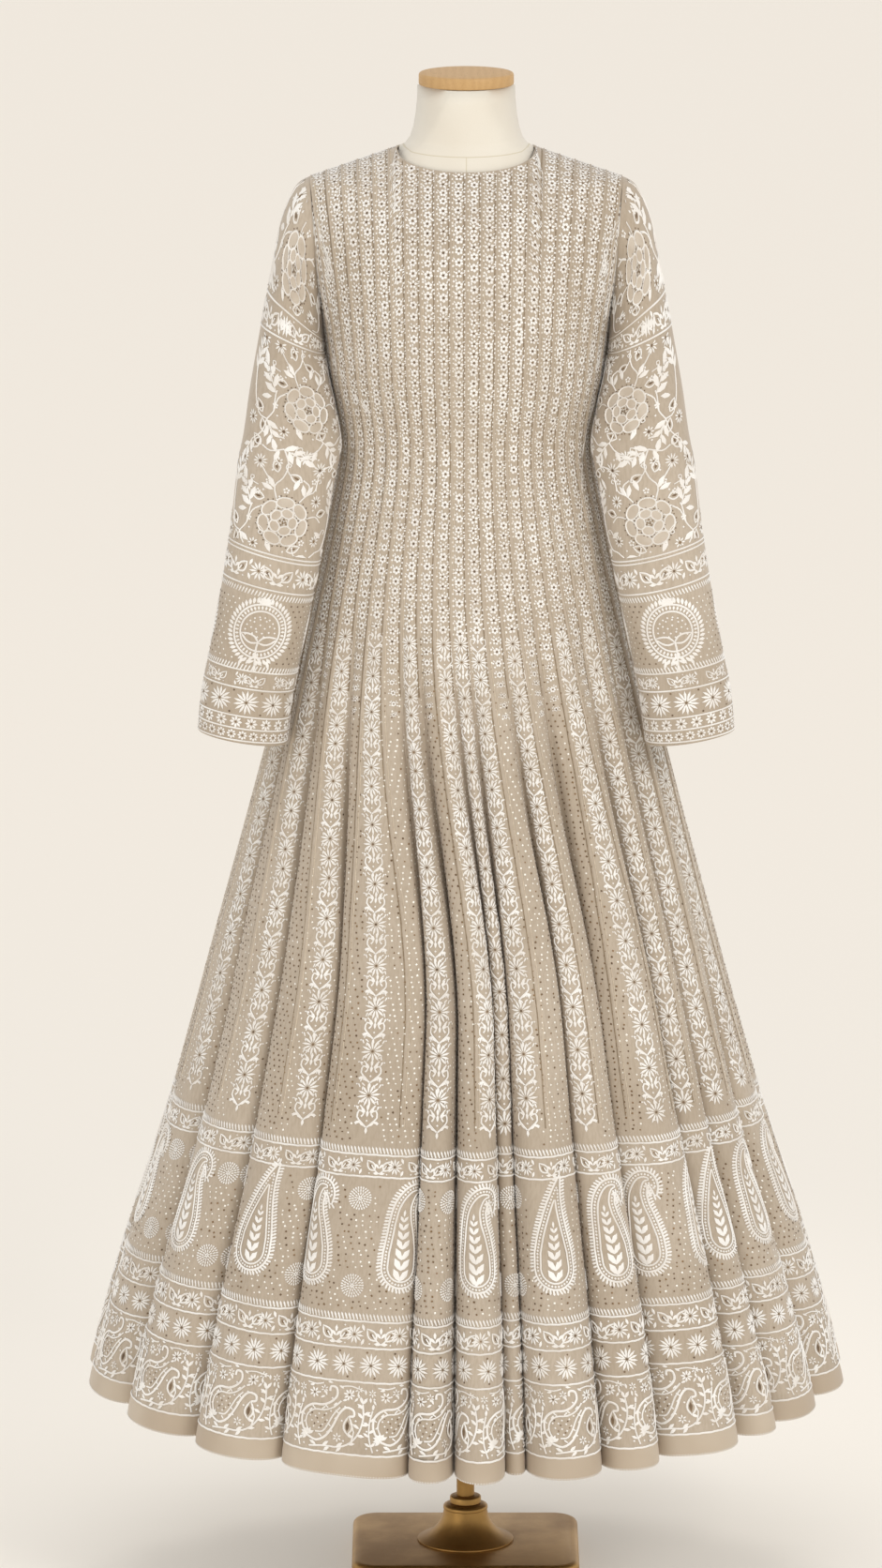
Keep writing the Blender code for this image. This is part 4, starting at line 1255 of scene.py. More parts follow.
silver, shaded_bronze, paisley_shares, disc_shares = {}, {}, {}, {}
for side in (FRONT, BACK):
    silver[side] = Needlework(panel_surface(side), arcs[side])
    shaded_bronze[side] = Needlework(panel_surface(side), arcs[side])
    paisley_shares[side], disc_shares[side] = border_places(side)
    share_all, row_all = [], []
    for n, row in enumerate(np.arange(band_row(DOTS_FOOT), FLOWERS_FOOT + 0.03, DOT_ROWS)):
        if band_row(NO_DOTS[0]) < row < band_row(NO_DOTS[1]):
            continue
        length = row_length(side, row)
        share = (np.arange(0.0, length, DOT_GAP) + DOT_GAP * (0.25 + 0.5 * (n % 2))) / length
        share_all.append(share)
        row_all.append(np.full(len(share), row))
    share_all, row_all = np.concatenate(share_all), np.concatenate(row_all)
    share_all = share_all + rng.normal(0.0, 0.0006, len(share_all)) * (share_all < 0.999)
    row_all = row_all + rng.normal(0.0, 0.0007, len(row_all))
    column, _ = arcs[side](share_all, row_all, 0.0, 0.0)
    lengths = row_length(side, row_all)
    axes = np.array([shares[side](daisy_axis(side, k, row_all), row_all)
                     for k in daisy_columns(side)])
    from_flower = np.abs(axes - share_all).min(axis=0) * lengths
    in_border = row_all < band_row(BORDER_TOP)
    from_paisley = np.abs(paisley_shares[side][:, None] - share_all).min(axis=0) * lengths
    from_disc = np.abs(disc_shares[side][:, None] - share_all).min(axis=0) * lengths
    at_disc = np.abs(np.abs(row_all - band_row(DISCS)) - DISC_STEP) < 0.015
    half = np.interp(row_all, band_row(np.array(PAISLEY_CLEAR[0])), PAISLEY_CLEAR[1])
    edge = np.interp(row_all, (0.55, 1.05), (0.0150, 0.0118))
    clear = np.where(in_border, (from_paisley > half) & ((from_disc > 0.0145) | ~at_disc),
                     from_flower > edge)
    high = row_all > FLOWERS_FOOT - 0.075
    clear = clear & ~(high & (np.abs(column % 1.0 - 0.5) * lengths / COLUMNS < 0.0065))
    clear = clear & (share_all > 0.004) & (share_all < 0.996)
    starts = fold_starts(side)
    fold = np.clip(np.searchsorted(starts, column, side="right") - 1, 0, len(starts) - 2)
    part = (column - starts[fold]) / FOLDS[side][fold, 0]
    # Silver on the lit half of each fold and bronze on the shaded half: painted light and shade,
    # with a share swapped at random, more in the border.
    right = (part > 0.5) if side == FRONT else (part < 0.5)
    lit_silver = right ^ (rng.random(len(column)) < np.where(in_border, 0.3, 0.15))
    for work, picked in ((silver[side], clear & lit_silver), (shaded_bronze[side], clear & ~lit_silver)):
        turns = rng.uniform(0.0, 90.0, picked.sum())
        work.sew(knot(1.2, 0.5), share_all[picked], row_all[picked], turns,
                 rng.uniform(0.85, 1.2, picked.sum()))


# ------------------------------------------------------------------ border above the hem
# Bands of white thread round the skirt, parted by chain-stitched lines and slanted
# stitches: scrolling mangoes and vines, daisies, leaves, then tall paisleys with discs.
HOOKED = (((0, 0), (-1, 15), (-3, 32), (-5.5, 49), (-5, 64), (1, 76), (9.5, 78), (15, 71),
           (16, 61)), (21.5, 21, 18, 14.5, 12, 10, 7.5, 4.6, 1.4))
POINTED = (((0, 0), (0, 16), (0.5, 32), (1.5, 47), (3, 61), (5.5, 74), (9, 86), (12.5, 95)),
           (22, 21, 17.5, 13.5, 9.8, 6.4, 3.4, 0.9))


def paisley_outline(shape, inset):
    """Outline of a tall paisley about a spine with a radius at each point, drawn in."""
    corners, radii = shape
    spine = bend(corners)
    radius = np.interp(np.linspace(0, len(radii) - 1, len(spine)), range(len(radii)), radii)
    kept = radius > inset + 0.3
    spine, radius = spine[kept], radius[kept, None] - inset
    aside = directions(spine)[:, ::-1] * (1, -1) * radius
    turns = np.linspace(np.pi, 2 * np.pi, 12)[1:-1]
    foot = radius[0] * np.stack((np.cos(turns), np.sin(turns)), axis=1)
    return np.concatenate((foot, spine + aside, (spine - aside)[::-1]))


def along_path(path, gap):
    """Evenly spaced places on a closed path, each with the turn that points away from it."""
    ring = np.concatenate((path, path[:1]))
    lengths = running_length(ring)
    at = (np.arange(int(lengths[-1] / gap)) + 0.5) * gap
    spots, ahead = (np.stack([np.interp(reach, lengths, axis) for axis in ring.T], axis=1)
                    for reach in (at, at + 0.5))
    turns = np.degrees(np.arctan2(*(ahead - spots).T[::-1])) - 180.0
    return [(x, y, turn) for (x, y), turn in zip(spots, turns)]


def make_paisley(shape, leaves):
    """A tall paisley: slanted rays, an outline, knots, a second outline and paired leaves."""
    rays = [(x, y, turn + 16.0) for x, y, turn in along_path(paisley_outline(shape, -0.6), 3.4)]
    pieces = [line(paisley_outline(shape, 0.0), 2.3, 1.0, closed=True),
              line(paisley_outline(shape, 6.6), 1.9, 0.9, closed=True),
              scattered(stitch(5.8, 2.3, 0.9), rays),
              scattered(knot(1.45, 0.8), along_path(paisley_outline(shape, 3.3), 3.5))]
    for x, y, long in leaves:
        pieces.append(scattered(petal(long, long * 0.44, 1.1), ((x, y, -33), (x, y, 33))))
    pieces.append(moved(petal(long, long * 0.36, 1.0), x - 0.4, y + long * 0.75))
    return joined(*pieces)


def open_leaf(long, wide, thick):
    """A leaf drawn as an outline round a cut or dark middle."""
    half = bend(((0, 0), (wide * 0.44, long * 0.28), (wide * 0.42, long * 0.62), (0, long)), 2)
    return line(np.concatenate((half, half[-2:0:-1] * (-1, 1))), thick, 0.8, closed=True)


# A lying mango in double outline, its crescent, a pointed leaf and a leafy vine
mango, shell, belly, crescent = (bend(corners, 3) for corners in (
    ((-30, -22), (-36, -10), (-34, 3), (-24, 11), (-12, 12), (-3, 16), (3, 23), (2, 31),
     (-4, 32), (-5, 27)),
    ((-27, -19), (-31, -9), (-29, 0), (-21, 6), (-10, 6.5), (0, 10.5), (8, 18)),
    ((-30, -22), (-19, -26), (-8, -20), (0, -8), (6, 4), (13, 11), (21, 9), (22, 3), (17, 2)),
    ((-20, -17), (-12, -16), (-6, -8), (0, 3), (7, 11))))
inside = np.concatenate(((mango[2:17] + shell[1:16]) / 2, (belly[4:16] + crescent[1:13]) / 2))
scroll = joined(
    line(mango, 2.5, 0.9), line(shell, 1.8, 0.9), line(belly, 2.5, 0.9), line(crescent, 1.8, 0.9),
    vine(((-27, -33), (-10, -31), (6, -31), (19, -25), (28, -13), (32, 2), (31, 16)), 2, 0.9),
    vine(((-38, -34), (-41, -20), (-40, -4), (-36, 10)), 1.7),
    vine(((19, -25), (22, -14), (18, -4)), 1.6, 0.7, 2),
    vine(((-30, 34), (-20, 33), (-12, 35)), 1.5, 0.8, 2),
    vine(((8, 33), (18, 34), (32, 30)), 1.5, 0.8, 2),
    scattered(stitch(5, 1.8, 0.8), [(x, y - 1.8, 50 - 100 * (n % 2))
                                    for n, (x, y) in enumerate(inside[::2])]),
    scattered(knot(1.2), ((-24, -6), (-20, -1), (-22, -12), (-16, 2), (-17, -7), (-12, -2),
                          (-12, -9), (-8, 3), (-7, -4), (-3, 6), (-26, -1), (-16, -13))),
    scattered(petal(8.5, 3.4, 1), [(-29, -21, turn) for turn in (100, 68, 36, 4, -28, -60, 132)]),
    scattered(petal(8.8, 3.5, 0.9), (
        (-19, -31, 62), (-12, -31, -52), (-4, -31, 128), (3, -31, -56), (9, -30, 136),
        (15, -27, -84), (22, -20, 66), (25, -17, -96), (28, -10, 58), (30, -6, -82), (32, 1, 46),
        (32, 5, -66), (32, 11, 52), (31, 16, -34), (31, 16, 20))),
    scattered(petal(7.4, 3, 0.9), (
        (-40, -28, 60), (-40, -28, -50), (-41, -18, 55), (-41, -14, -55), (-40, -6, 60),
        (-39, -2, -50), (-36, 10, -10), (-37, 4, 70))),
    scattered(petal(6, 2.5, 0.8), (
        (-32, 16, 30), (-15, 19, -60), (-8, 22, 20), (10, 31, 60), (22, 18, -40), (9, 18, -70),
        (-28, 31, -80), (27, 22, 20), (-2, 36, 80), (34, 26, 10), (-38, 18, 0))),
    moved(open_leaf(19, 9.4, 2.1), 15, -17, -4),
    scattered(knot(1.3, 0.8), ((-34, 22), (-16, 25), (-2, 20), (12, 12), (27, 13), (-14, -24),
                               (-2, -15), (9, -3), (24, -2), (-33, -31), (11, -24), (36, -12),
                               (36, -30), (20, 29))),
    *[moved(flower(petals, 1.1, 5.4, 2.3, 0.8), x, y, 10 * petals, size)
      for x, y, petals, size in ((16, 25, 8, 1), (-22, 24, 7, 0.95), (4, -21, 6, 0.8),
                                 (-11, 29, 6, 0.7), (26, 31, 6, 0.7), (-36, 28, 6, 0.7))])
scroll_holes = joined(
    scattered(knot(1.1, 0.4), ((-18, -3), (-10, 1), (-21, -9), (-14, -11), (-9, -6), (-24, 2),
                               (16, 25), (-22, 24))),
    moved(petal(10.5, 3.6, 0.15), 14.7, -13.5, -4))

# A daisy and a pair of outlined leaves on forked stems, for the leaf bands
stem = bend(((-7, -9.5), (-11, -6.5), (-16.5, 1)), 2)
leaf_group = joined(
    moved(flower(11, 1.7, 8.6, 2.3, 0.9), 12.5), line(stem, 1.7, 0.7),
    line(stem * (-1, 1) + (-14, 0), 1.7, 0.7),
    scattered(open_leaf(15, 9, 2), ((-12.4, -5.6, 38), (-1.6, -5.6, -38))),
    scattered(petal(7.6, 3.2), ((-7, -9.5, 84), (-7, -9.5, -84), (-7, 1), (23, 4, 20),
                                (23, -4, 160), (-7, -3, 40), (-7, -3, -40))),
    scattered(knot(1.1), ((2, 9), (3, -9.6), (-19, -9))))
leaf_holes = joined(scattered(petal(6.5, 2.6, 0.15), ((-14.6, -2.9, 38), (0.6, -2.9, -38))),
                    moved(knot(1.3, 0.3, 6), 12.5))

hooked = make_paisley(HOOKED, ((-0.5, -14, 15), (-0.8, -3, 15), (-1.4, 8, 14), (-2.4, 19, 12.5),
                               (-3.6, 29, 11), (-4.8, 38.5, 9.5), (-5.4, 47, 7.5)))
pointed = make_paisley(POINTED, ((0, -13, 14.5), (0, -2, 14), (0.2, 9, 12.5), (0.5, 19, 11),
                                 (1, 28.5, 9), (1.7, 37, 7)))
# A round medallion of short straight stitches in four rings
disc = joined(*[turned_round(stitch(long, wide, 1.1, radius), many, 0.5 * (many % 3))
                for radius, many, long, wide in ((0.6, 6, 3, 1.7), (3.7, 12, 3.2, 1.7),
                                                 (7, 19, 3.3, 1.7), (10.3, 26, 3, 1.8))])
border_daisy = joined(flower(14, 2.3, 10.8, 2.5, 1),
                      moved(flower(7, 1.5, 3.6, 1.4, 0.8), turn=12))
slant = moved(stitch(7.6, 1.9, 0.9), 1.4, -4.4, 20)
for side, word in ((FRONT, "front"), (BACK, "back")):
    work, dark = Needlework(panel_surface(side), arcs[side]), eyelets[side]
    dark.spread = arcs[side]

    def evenly(up, gap, shift=0.5):
        """Shares of a row's length at even gaps, and the row, from millimetres."""
        length = 1000 * row_length(side, band_row(up))
        count = round(length / gap)
        share = (np.arange(count) + shift) / count
        inside = np.minimum(share, 1 - share) * length > gap * 0.3
        return share[inside], np.full(inside.sum(), band_row(up))

    for up, wide in ((23.2, 2.2), (100, 2), (136, 2), (163.5, 2), (314, 2), (337, 2)):
        half = 500 * row_length(side, band_row(up)) - 1.5
        x = np.arange(-half, half, 4.6)
        work.sew(line(np.stack((x, 0.25 * np.sin(x * 0.9)), axis=1), wide, 0.9), 0.5, band_row(up))
    for motif, holes, up, gap, size in (
            (scroll, scroll_holes, 61, 78, 1), (border_daisy, knot(1.3, 0.4, 6), 118, 29.2, 1),
            (leaf_group, leaf_holes, 149.8, 48, 1), (leaf_group, leaf_holes, 325.5, 44, 0.86)):
        work.sew(motif, *evenly(up, gap), size=size)
        dark.sew(holes, *evenly(up, gap), size=size)
    for motif, up, gap in ((slant, 169.5, 3.8), (slant, 343, 3.8), (knot(0.9), 1, 3)):
        work.sew(motif, *evenly(up, gap))
    for up in (105, 131.5):
        dark.sew(knot(1.2, 0.4, 6), *evenly(up, 29.2, 0))
    share = paisley_shares[side]
    kind = np.arange(len(share)) % 4 == 2
    for motif, picked in ((hooked, ~kind), (pointed, kind)):
        work.sew(motif, share[picked], band_row(221), rng.normal(-2.0, 1.5, picked.sum()))
    share = disc_shares[side]
    for up in (200, 291):
        work.sew(disc, share, band_row(up), rng.uniform(0.0, 40.0, len(share)), 0.95)
    works[side].finish(word + "_flowers", thread_look, "cloth")
    eyelets[side].finish(word + "_eyelets", eyelet_look, "cloth")
    silver[side].finish(word + "_silver_dots", silver_look, "cloth")
    # The bronze dots are mostly painted shade on the shaded halves of the folds.
    shaded_bronze[side].finish(word + "_shaded_bronze_dots", shaded_bronze_look, "cloth")
    work.finish(word + "_border", thread_look, "cloth")


# ------------------------------------------------------------------ embroidery of the sleeves
# An all-over pattern of roses, daisies, leaf sprays and vines runs from the shoulder to the
# forearm, crossed above the elbow by a slanting band of leaves. Below it are the border's
# bands again, with rings of leaves on dotted cloth between.
SLEEVE_FRONT = 1.5 * np.pi

patch_look, start = new_look("rose_patch", linear(190, 177, 159), 0.7, sheen_weight=0.3)
shade = start.noise(45.0, detail=2.0).clear(0.3, 0.7)
feed(patch_look, "Base Color", shade.mix(linear(183, 169, 151), linear(196, 184, 168)))
feed(patch_look, "Normal", start.noise(700.0, detail=2.0).bump(0.25, 0.0004))

fine_rings = np.linspace(0.0, RINGS, 400)
sleeve_down = running_length(sleeve_point(SLEEVE_FRONT, fine_rings))
SLEEVE_LONG = float(sleeve_down[-1])
every_ring = np.arange(RINGS + 1.0)
rings_round = sleeve_point(np.linspace(0.0, 2 * np.pi, 97), every_ring[:, None])
ring_radius = whole_length(rings_round, axis=1) / (2 * np.pi)


def ring_at(up):
    """The sleeve's ring at a distance up from the cuff."""
    return np.interp(SLEEVE_LONG - up, sleeve_down, fine_rings)


def radius_at(ring):
    """Mean radius of the sleeve at a ring."""
    return np.interp(ring, every_ring, ring_radius)


def on_sleeve(turn, up, x, y):
    """Across and up from a place given as a turn and a distance up from the cuff."""
    ring = ring_at(up + y)
    return turn + x / radius_at(ring), ring


def on_tilted_band(turn, up, x, y):
    """The same, on bands that rise to the sleeve's outer side, more so higher up."""
    ring = ring_at(up)
    turn = turn + x / radius_at(ring)
    rise = np.interp(up, (0.0, 0.080, 0.200, 0.430), (-0.001, 0.0, 0.0045, -0.004))
    return turn, ring_at(up + y + rise * np.cos(turn))


# An open rose: two rings of wide petals as patches, their stitched outlines, and knots
patches, outlines, marks = [], [], []
for petals, inner, long, wide, offset in ((5, 5.2, 8.6, 13, 20), (7, 14.6, 10.6, 19, 0)):
    rim = bend([(wide * 0.92 * x, inner + long * y) for x, y in (
        (-0.24, 0), (-0.50, 0.34), (-0.46, 0.74), (-0.20, 1), (0.20, 1), (0.46, 0.74),
        (0.50, 0.34), (0.24, 0))], 2, closed=True)
    points, faces = mound([(x, y, 0) for x, y in rim], (0, inner + long * 0.5, 0.8))
    dots = scattered(knot(0.85, 1.2), [(wide * x, inner + long * y) for x, y in (
        (-0.50, 0.86), (-0.28, 1.14), (0, 1.22), (0.28, 1.14), (0.50, 0.86))])
    turns = [(0, 0, offset + 360.0 * k / petals) for k in range(petals)]
    for kind, motif in ((patches, (points, faces[:, ::-1])), (marks, dots),
                        (outlines, line(rim, 1.7, 1.3, closed=True))):
        kind.append(scattered(motif, turns))
for k in range(13):
    radius, turn = 0.9 * math.sqrt(k * 1.6), math.radians(137.5 * k)
    (outlines if k % 2 else marks).append(
        moved(knot(0.9, 1), radius * math.cos(turn), radius * math.sin(turn)))
rose_patch, rose_outline, rose_marks = (joined(*kind) for kind in (patches, outlines, marks))


def spray(leaves, long):
    """A stem with filled leaves on both sides and one at its tip, pointing up."""
    leaf, gap = petal(long, long * 0.40, 1.1), long * 0.32
    return joined(line([(0, 0), (0.3, gap * leaves / 2), (0, gap * leaves)], 1.4, 0.8),
                  moved(leaf, 0, gap * leaves),
                  *[moved(leaf, 0, gap * (k + 0.2), 40 if k % 2 else -40, 1 - 0.05 * k)
                    for k in range(leaves)])


# One repeat of the all-over pattern about a rose, 140 wide and 124 high
VINES = (((9, 22), (13, 36), (6, 46), (3, 60), (10, 76)), ((13, 36), (22, 45), (32, 56)),
         ((-13, 22), (-20, 30), (-30, 36), (-31, 54)), ((22, 14), (33, 6), (38, -8), (46, -18)),
         ((38, -8), (36, 8), (34, 14)), ((46, -18), (38, -30), (26, -34)),
         ((-12, -23), (-16, -34), (-30, -37), (-42, -30)), ((-16, -34), (-8, -44), (1, -48)),
         ((46, -18), (57, -14), (64, 4), (66, 28)), ((-42, -30), (-54, -26), (-61, -8), (-62, 10)),
         ((10, 76), (24, 72), (34, 76)), ((-31, 54), (-42, 62), (-56, 58)),
         ((-23, 6), (-34, 8), (-42, 2)), ((46, -18), (52, -32), (64, -42)),
         ((-20, 30), (-22, 40), (-14, 46)), ((66, 28), (60, 44), (50, 52)))
SPRAYS = ((35, 10, -24, 5, 17), (11, 76, 112, 5, 15), (-17, -34, 134, 4, 14),
          (46, -18, 158, 4, 15), (66, 26, 12, 5, 15), (-62, 8, -6, 5, 15),
          (-55, -27, 150, 4, 14), (64, -42, -150, 3, 13))
LEAVES = ((-13, 44, -64), (12, 51, -24), (52, -12, -34), (22, 22, -84), (-8, -30, 66),
          (49, -32, -12), (-36, 10, 76), (-52, 54, 100), (60, -50, 30), (36, 76, -50),
          (-30, -46, 170))
DAISIES = ((-31, 58, 11, 7.4, 1), (33, 59, 11, 7, 1), (-33, 24, 10, 6, 0.9), (2, -51, 11, 6.6, 0.9),
           (43, 30, 8, 4.4, 0.8), (-38, -18, 9, 5, 0.9), (27, -27, 8, 4.4, 0.8),
           (56, 58, 10, 6.4, 0.9), (-58, 34, 10, 6, 0.9), (66, -20, 10, 6, 0.9),
           (-66, -44, 9, 5.4, 0.9), (14, 62, 7, 3.6, 0.8))
jaal = joined(
    *[vine(corners) for corners in VINES],
    *[moved(spray(leaves, long), x, y, turn) for x, y, turn, leaves, long in SPRAYS],
    *[moved(flower(petals, 1.8, long, 1.9, high), x, y) for x, y, petals, long, high in DAISIES],
    scattered(open_leaf(14, 7.8, 1.8), LEAVES),
    scattered(petal(14, 5.4, 1.1), (
        (13, 34, -34), (14, 32, -70), (-19, 29, 34), (-18, 28, -14), (8, -33, -28), (-20, 66, 16),
        (-6, 34, 20), (-44, 66, 60), (30, -46, 196), (-36, -8, 120), (54, 4, 80), (-48, 36, 20))),
    scattered(flower(5, 1, 2.6, 2.6, 0.8), ((-27, 45), (1, 33), (30, 27), (-22, -20), (36, -2),
                                            (-44, -40), (20, 40), (50, 40))),
    scattered(moved(curl, size=0.8), (
        (33, 40, -30), (-36, 40, 40), (26, -12, 170), (-2, 56, 10), (56, -4, -70), (-50, -14, 80),
        (-26, -58, 200), (18, -44, 230), (-6, 72, 60))),
    scattered(knot(1.3, 0.8), (
        (34, -12), (-30, 15), (-4, -31), (-44, 30), (30, -36), (-29, -28), (52, 24), (-58, -34),
        (7, 26), (-12, -52), (46, 66), (-40, -54), (66, 12), (24, 30), (-25, 36), (42, 18),
        (18, 52), (-38, 50), (-24, 70), (44, -40))))
jaal_holes = joined(scattered(moved(petal(6.6, 2.5, 0.15), y=3.4), LEAVES),
                    scattered(knot(1.6, 0.4, 6), [place[:2] for place in DAISIES]))

# A wreath of slanting leaves round two lines, with two leaves crossed over its foot
WREATH_TALL = 1.06
circle = np.radians(np.linspace(0, 360, 48, endpoint=False))
wreath = [line(np.stack((r * np.cos(circle), r * WREATH_TALL * np.sin(circle)), axis=1), wide, 0.9,
               closed=True) for r, wide in ((20, 1.9), (26.8, 2.1))]
for radius, many, long, wide, tilt in ((28.2, 46, 7.4, 3.5, 24), (21.4, 40, 4.6, 2.4, 0)):
    for degrees in 360.0 * (np.arange(many) + 0.5) / many:
        x = radius * math.cos(math.radians(degrees))
        y = radius * WREATH_TALL * math.sin(math.radians(degrees))
        lean = tilt if x > 0 else -tilt
        wreath.append(moved(petal(long, wide, 0.9), x, y, degrees - 90 + lean))
wreath.append(scattered(open_leaf(20, 8.4, 2), ((0, -12, -68), (0, -12, 72))))
wreath.append(vine(((0, -11), (0.6, -20), (-1, -36)), 2, 1))
wreath.append(scattered(petal(9.5, 3.4, 1.1), both((0, 28, 62), (0, 28, 36), (0, 28, 12))))
wreath.append(scattered(petal(9.5, 3.2, 1.1), [(-1, -34, 180), *both(
    (0, -26, 132), (0, -31, 118), (-12, -30, 160))]))
for radius, step, shift in ((15, 1, 0), (9.5, 2, 3), (4.5, 4, 2)):
    spots = [(radius * math.cos(turn), radius * math.sin(turn) + shift)
             for turn in np.radians(np.arange(0, 360, 20 * step))]
    wreath.append(scattered(knot(1.2), [spot for spot in spots if spot[1] > -8]))
wreath = joined(*wreath)


def off_bands(turn, ring):
    """Places on the sleeve that are clear of the leaf bands and of what is below them."""
    up = SLEEVE_LONG - np.interp(ring, fine_rings, sleeve_down)
    slanting = np.abs(up - 0.437 + 0.004 * np.cos(turn)) > 0.0155
    return slanting & (up - 0.0045 * np.cos(turn) > 0.2025) & (up < SLEEVE_LONG - 0.002)


# Degrees round from the front, height up from the cuff, and -1 where the repeat is mirrored
ROSES = ((-4, 0.236, 1), (-22, 0.357, 1), (18, 0.486, 1),
         (176, 0.248, -1), (192, 0.372, 1), (164, 0.492, -1))
for mirror, word in ((1, "left"), (-1, "right")):
    white, patch, dark, dots = (Needlework(sleeve_surface, on_sleeve) for _ in range(4))
    for degrees, up, flip in ROSES:
        for work, motif in ((white, jaal), (white, rose_outline), (patch, rose_patch),
                            (dark, rose_marks), (dark, jaal_holes)):
            work.sew(moved(motif, mirror=flip), SLEEVE_FRONT + math.radians(degrees), up,
                     keep=off_bands)

    def around(up, gap, shift=0.0):
        """Turns at even gaps round the sleeve from its front, and the height, from mm."""
        count = round(2000 * np.pi * radius_at(ring_at(up * 0.001)) / gap)
        turns = SLEEVE_FRONT + (np.arange(count) + shift) * 2 * np.pi / count
        return turns, np.full(count, up * 0.001)

    tilted = {"spread": on_tilted_band}
    for up in (1.8, 14.5, 27.5, 57, 76, 163.5, 196, 200, 424, 450):
        x = np.linspace(0, 2000 * np.pi, 81) * radius_at(ring_at(up * 0.001))
        white.sew(line(np.stack((x, 0 * x), axis=1), 1.7, 0.9), 0, up * 0.001, **tilted)
    for motif, up, gap, size in (
            (slant, 80.5, 3.6, 0.9), (slant, 158.5, 3.6, 0.9), (leaf_group, 180, 50, 1),
            (leaf_group, 437, 48, 1), (leaf_group, 66.5, 40, 0.66), (border_daisy, 42.5, 29.2, 1)):
        white.sew(motif, *around(up, gap), size=size, **tilted)
    white.sew(scattered(petal(13, 4.6, 1.2), [(4.4 * k, -6.5, -16) for k in range(5)]),
              SLEEVE_FRONT + np.radians((6, 196)), 0.437, **tilted)
    for motif, place in ((flower(8, 1.4, 5, 2.6, 0.9), around(21, 15, 0.5)),
                         (flower(8, 1.6, 3.4, 2.3, 0.9), around(7.8, 11.2)),
                         (wreath, around(119, 95))):
        white.sew(motif, *place)
    for up, gap, shift, radius in ((42.5, 29.2, 0, 1.3), (54, 29.2, 0.5, 1.1),
                                   (31, 29.2, 0.5, 1.1), (21, 15, 0.5, 1), (7.8, 11.2, 0, 1)):
        dark.sew(knot(radius, 0.4, 6), *around(up, gap, shift), **tilted)
    for up, gap, size in ((180, 50, 1), (437, 48, 0.95)):
        dark.sew(leaf_holes, *around(up, gap), size=size, **tilted)
    count = len(around(119, 95)[0])
    for n, up in enumerate(np.arange(87.0, 154.0, 5.6)):
        turns, ups = around(up, 7.8, 0.5 * (n % 2))
        share = (turns - SLEEVE_FRONT) * count / (2 * np.pi)
        wide = 2000 * np.pi * radius_at(ring_at(up * 0.001)) / count
        from_ring = (share - np.round(share)) * wide
        off = np.hypot(from_ring, up - 119) > 38
        for work, picked in ((dots, off & (from_ring > 0)), (dark, off & (from_ring <= 0))):
            work.sew(knot(1.15, 0.5), turns[picked], ups[picked])
    white.finish("sleeve_thread_" + word, thread_look, "cloth", mirror)
    patch.finish("sleeve_roses_" + word, patch_look, "cloth", mirror)
    dark.finish("sleeve_eyelets_" + word, eyelet_look, "cloth", mirror)
    dots.finish("sleeve_dots_" + word, silver_look, "cloth", mirror)


# ------------------------------------------------------------------ wooden cap
# A turned cap of pale wood, waxed, that closes the top of the form's neck.
CAP = ((0.0, 0.0131), (0.030, 0.0131), (0.0470, 0.0129), (0.0482, 0.0127), (0.0492, 0.0121),
       (0.0498, 0.0111), (0.0500, 0.0098), (0.0500, 0.0022), (0.0497, 0.0012),
       (0.0490, 0.0006), (0.0480, 0.0004), (0.0, 0.0004))

wood_look, start = new_look("waxed_wood", linear(200, 156, 100), 0.55, coat_weight=0.05,
                            coat_roughness=0.3)
rings = start.node("TexWave", {"wave_type": "BANDS", "bands_direction": "X"},
                   {"Vector": start.coordinates((1.0, 0.22, 1.0)), "Scale": 38.0,
                    "Distortion": 5.0, "Detail": 3.0, "Detail Scale": 1.4}, output=1)
pores = start.noise(900.0, detail=2.0, stretch=(1.0, 0.06, 1.0)).clear(0.55, 0.75)
grain = (rings * 0.30).mix(linear(194, 156, 104), linear(178, 137, 84))
feed(wood_look, "Base Color", (pores * 0.35).mix(grain, linear(140, 98, 54)))
feed(wood_look, "Normal", (rings * 0.3 + pores).bump(0.12, 0.0003))


def turned(name, profile, foot, look, node, sides=96):
    """A piece turned round the pole's axis from a profile of radius and height."""
    turns = np.linspace(0.0, 2 * np.pi, sides, endpoint=False)
    points = np.array([[(radius * np.cos(t), radius * np.sin(t), foot + height) for t in turns]
                       for radius, height in profile])
    faces = quads(len(profile), sides, wrap=True)
    made = mesh_object(name, points.reshape(-1, 3), faces, look)
    face_outward(made, merge=0.00001)
    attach(made, "root")
    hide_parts(node)


turned("cap_wood", CAP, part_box("form_cap")[0][2], wood_look, "form_cap")


# ------------------------------------------------------------------ brass stand
# A heavy plate with rounded corners carries a spun bell and a collar, and the pole stands
# in them. All are brass, brushed and darkened with age, brighter where hands rub it.
BASE_WIDE, BASE_DEEP, BASE_CORNER = 0.245, 0.212, 0.028
BASE_EDGE = ((0.0012, 0.0), (0.0, 0.0012), (0.0, 0.0160), (0.0006, 0.0190), (0.0022, 0.0212),
             (0.0045, 0.0225), (0.0080, 0.0230))
BELL = ((0.0, 0.0), (0.0520, 0.0), (0.0519, 0.0014), (0.0500, 0.0026), (0.0440, 0.0048),
        (0.0390, 0.0080), (0.0345, 0.0118), (0.0305, 0.0162), (0.0272, 0.0213), (0.0248, 0.0270),
        (0.0236, 0.0325), (0.0232, 0.0345), (0.0240, 0.0352), (0.0240, 0.0378), (0.0232, 0.0390),
        (0.0205, 0.0402), (0.0190, 0.0410), (0.0, 0.0410))
POLE_RADIUS = 0.0096

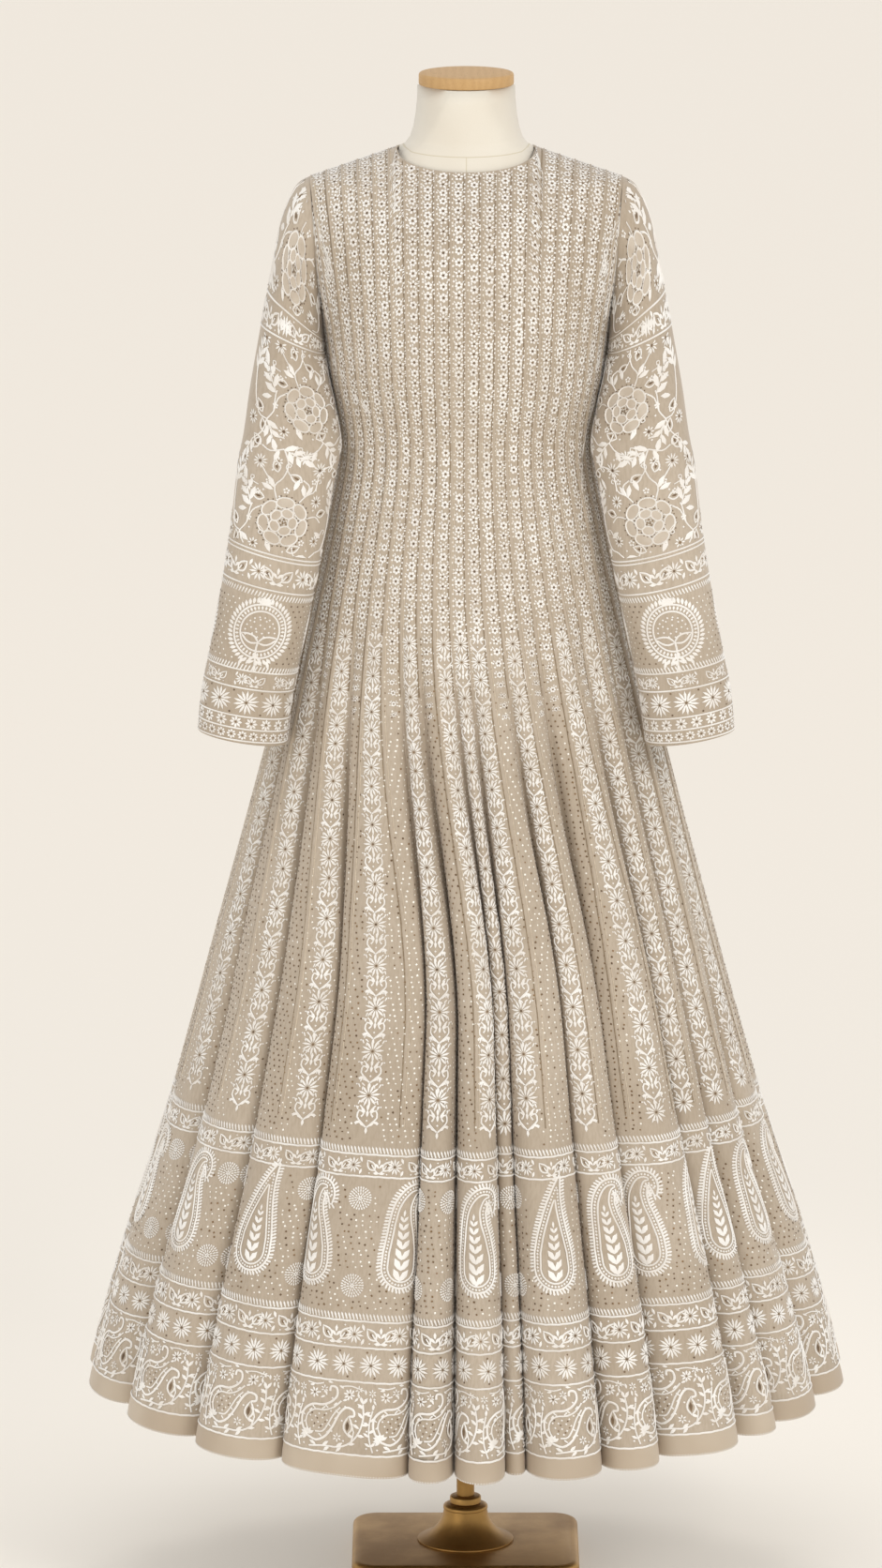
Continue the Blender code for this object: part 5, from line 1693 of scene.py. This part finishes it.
brass_look, start = new_look("aged_brass", linear(160, 122, 66), 0.38, metallic=1.0)
smoke = start.noise(14.0, detail=4.0, rough=0.6).clear(0.3, 0.72)
brushed = start.noise(300.0, detail=3.0, stretch=(1.0, 1.0, 0.1))
tone = smoke.mix(linear(160, 124, 72), linear(186, 148, 90))
feed(brass_look, "Base Color", tone)
feed(brass_look, "Roughness", 0.42 - smoke * 0.06 + brushed * 0.08)
feed(brass_look, "Normal", (brushed + smoke * 0.3).bump(0.08, 0.0004))


def make_plate():
    """The base plate, with rounded corners and a top edge turned over."""
    rings, steps = [], 12
    for inset, height in BASE_EDGE:
        reach = BASE_CORNER - inset
        for corner, (sign_x, sign_y) in enumerate(((1, 1), (-1, 1), (-1, -1), (1, -1))):
            for step in range(steps + 1):
                turn = math.pi / 2 * (corner + step / steps)
                rings.append((sign_x * (BASE_WIDE / 2 - BASE_CORNER) + reach * math.cos(turn),
                              sign_y * (BASE_DEEP / 2 - BASE_CORNER) + reach * math.sin(turn),
                              height))
    around = 4 * (steps + 1)
    faces = quads(len(BASE_EDGE), around, wrap=True)
    faces.append(list(range(around))[::-1])
    faces.append(list(range(len(rings) - around, len(rings))))
    made = mesh_object("base_plate", rings, faces, brass_look, sharp=30.0)
    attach(made, "root")
    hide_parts("stand_base")


make_plate()
for name, node in (("bell", "stand_bell"), ("collar", "stand_collar"), ("pole", "stand_pole")):
    low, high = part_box(node)
    wide, tall = (high[0] - low[0]) / 2, high[2] - low[2]
    if name == "bell":
        shape = BELL
    elif name == "collar":
        shape = ((0.0, 0.0), (wide * 0.94, 0.0), (wide, tall * 0.08), (wide, tall * 0.80),
                 (wide * 0.97, tall * 0.90), (wide * 0.86, tall), (0.0, tall))
    else:
        shape = ((0.0, 0.0), (POLE_RADIUS, 0.0), (POLE_RADIUS, tall), (0.0, tall))
    turned("brass_" + name, shape, low[2], brass_look, node)


# ------------------------------------------------------------------ neck button
# A small button covered in the gown's own cotton closes the slit behind the neck.
BUTTON = ((0.0, 0.0), (0.0042, 0.0), (0.0052, 0.0007), (0.0055, 0.0017), (0.0052, 0.0026),
          (0.0043, 0.0034), (0.0028, 0.0040), (0.0012, 0.0043), (0.0, 0.0044))
BUTTON_ROW, BUTTON_SIDES = YOKE + 0.86 * (TOP - YOKE), 32

middle = np.mean(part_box("neck_button"), axis=0)
_, normal = panel_surface(BACK)(np.array(MID), np.array(BUTTON_ROW))
side_way = np.array((1.0, 0.0, 0.0))
up_way = np.cross(normal, side_way)
turns = 2 * np.pi * np.arange(BUTTON_SIDES) / BUTTON_SIDES
button = mesh_object("button_cover",
                     [middle + side_way * radius * math.cos(t) + up_way * radius * math.sin(t)
                      + normal * (height - BUTTON[-1][1] / 2)
                      for radius, height in BUTTON for t in turns],
                     quads(len(BUTTON), BUTTON_SIDES, wrap=True), band_look)
face_outward(button, merge=0.00001)
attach(button, "root")
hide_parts("neck_button")
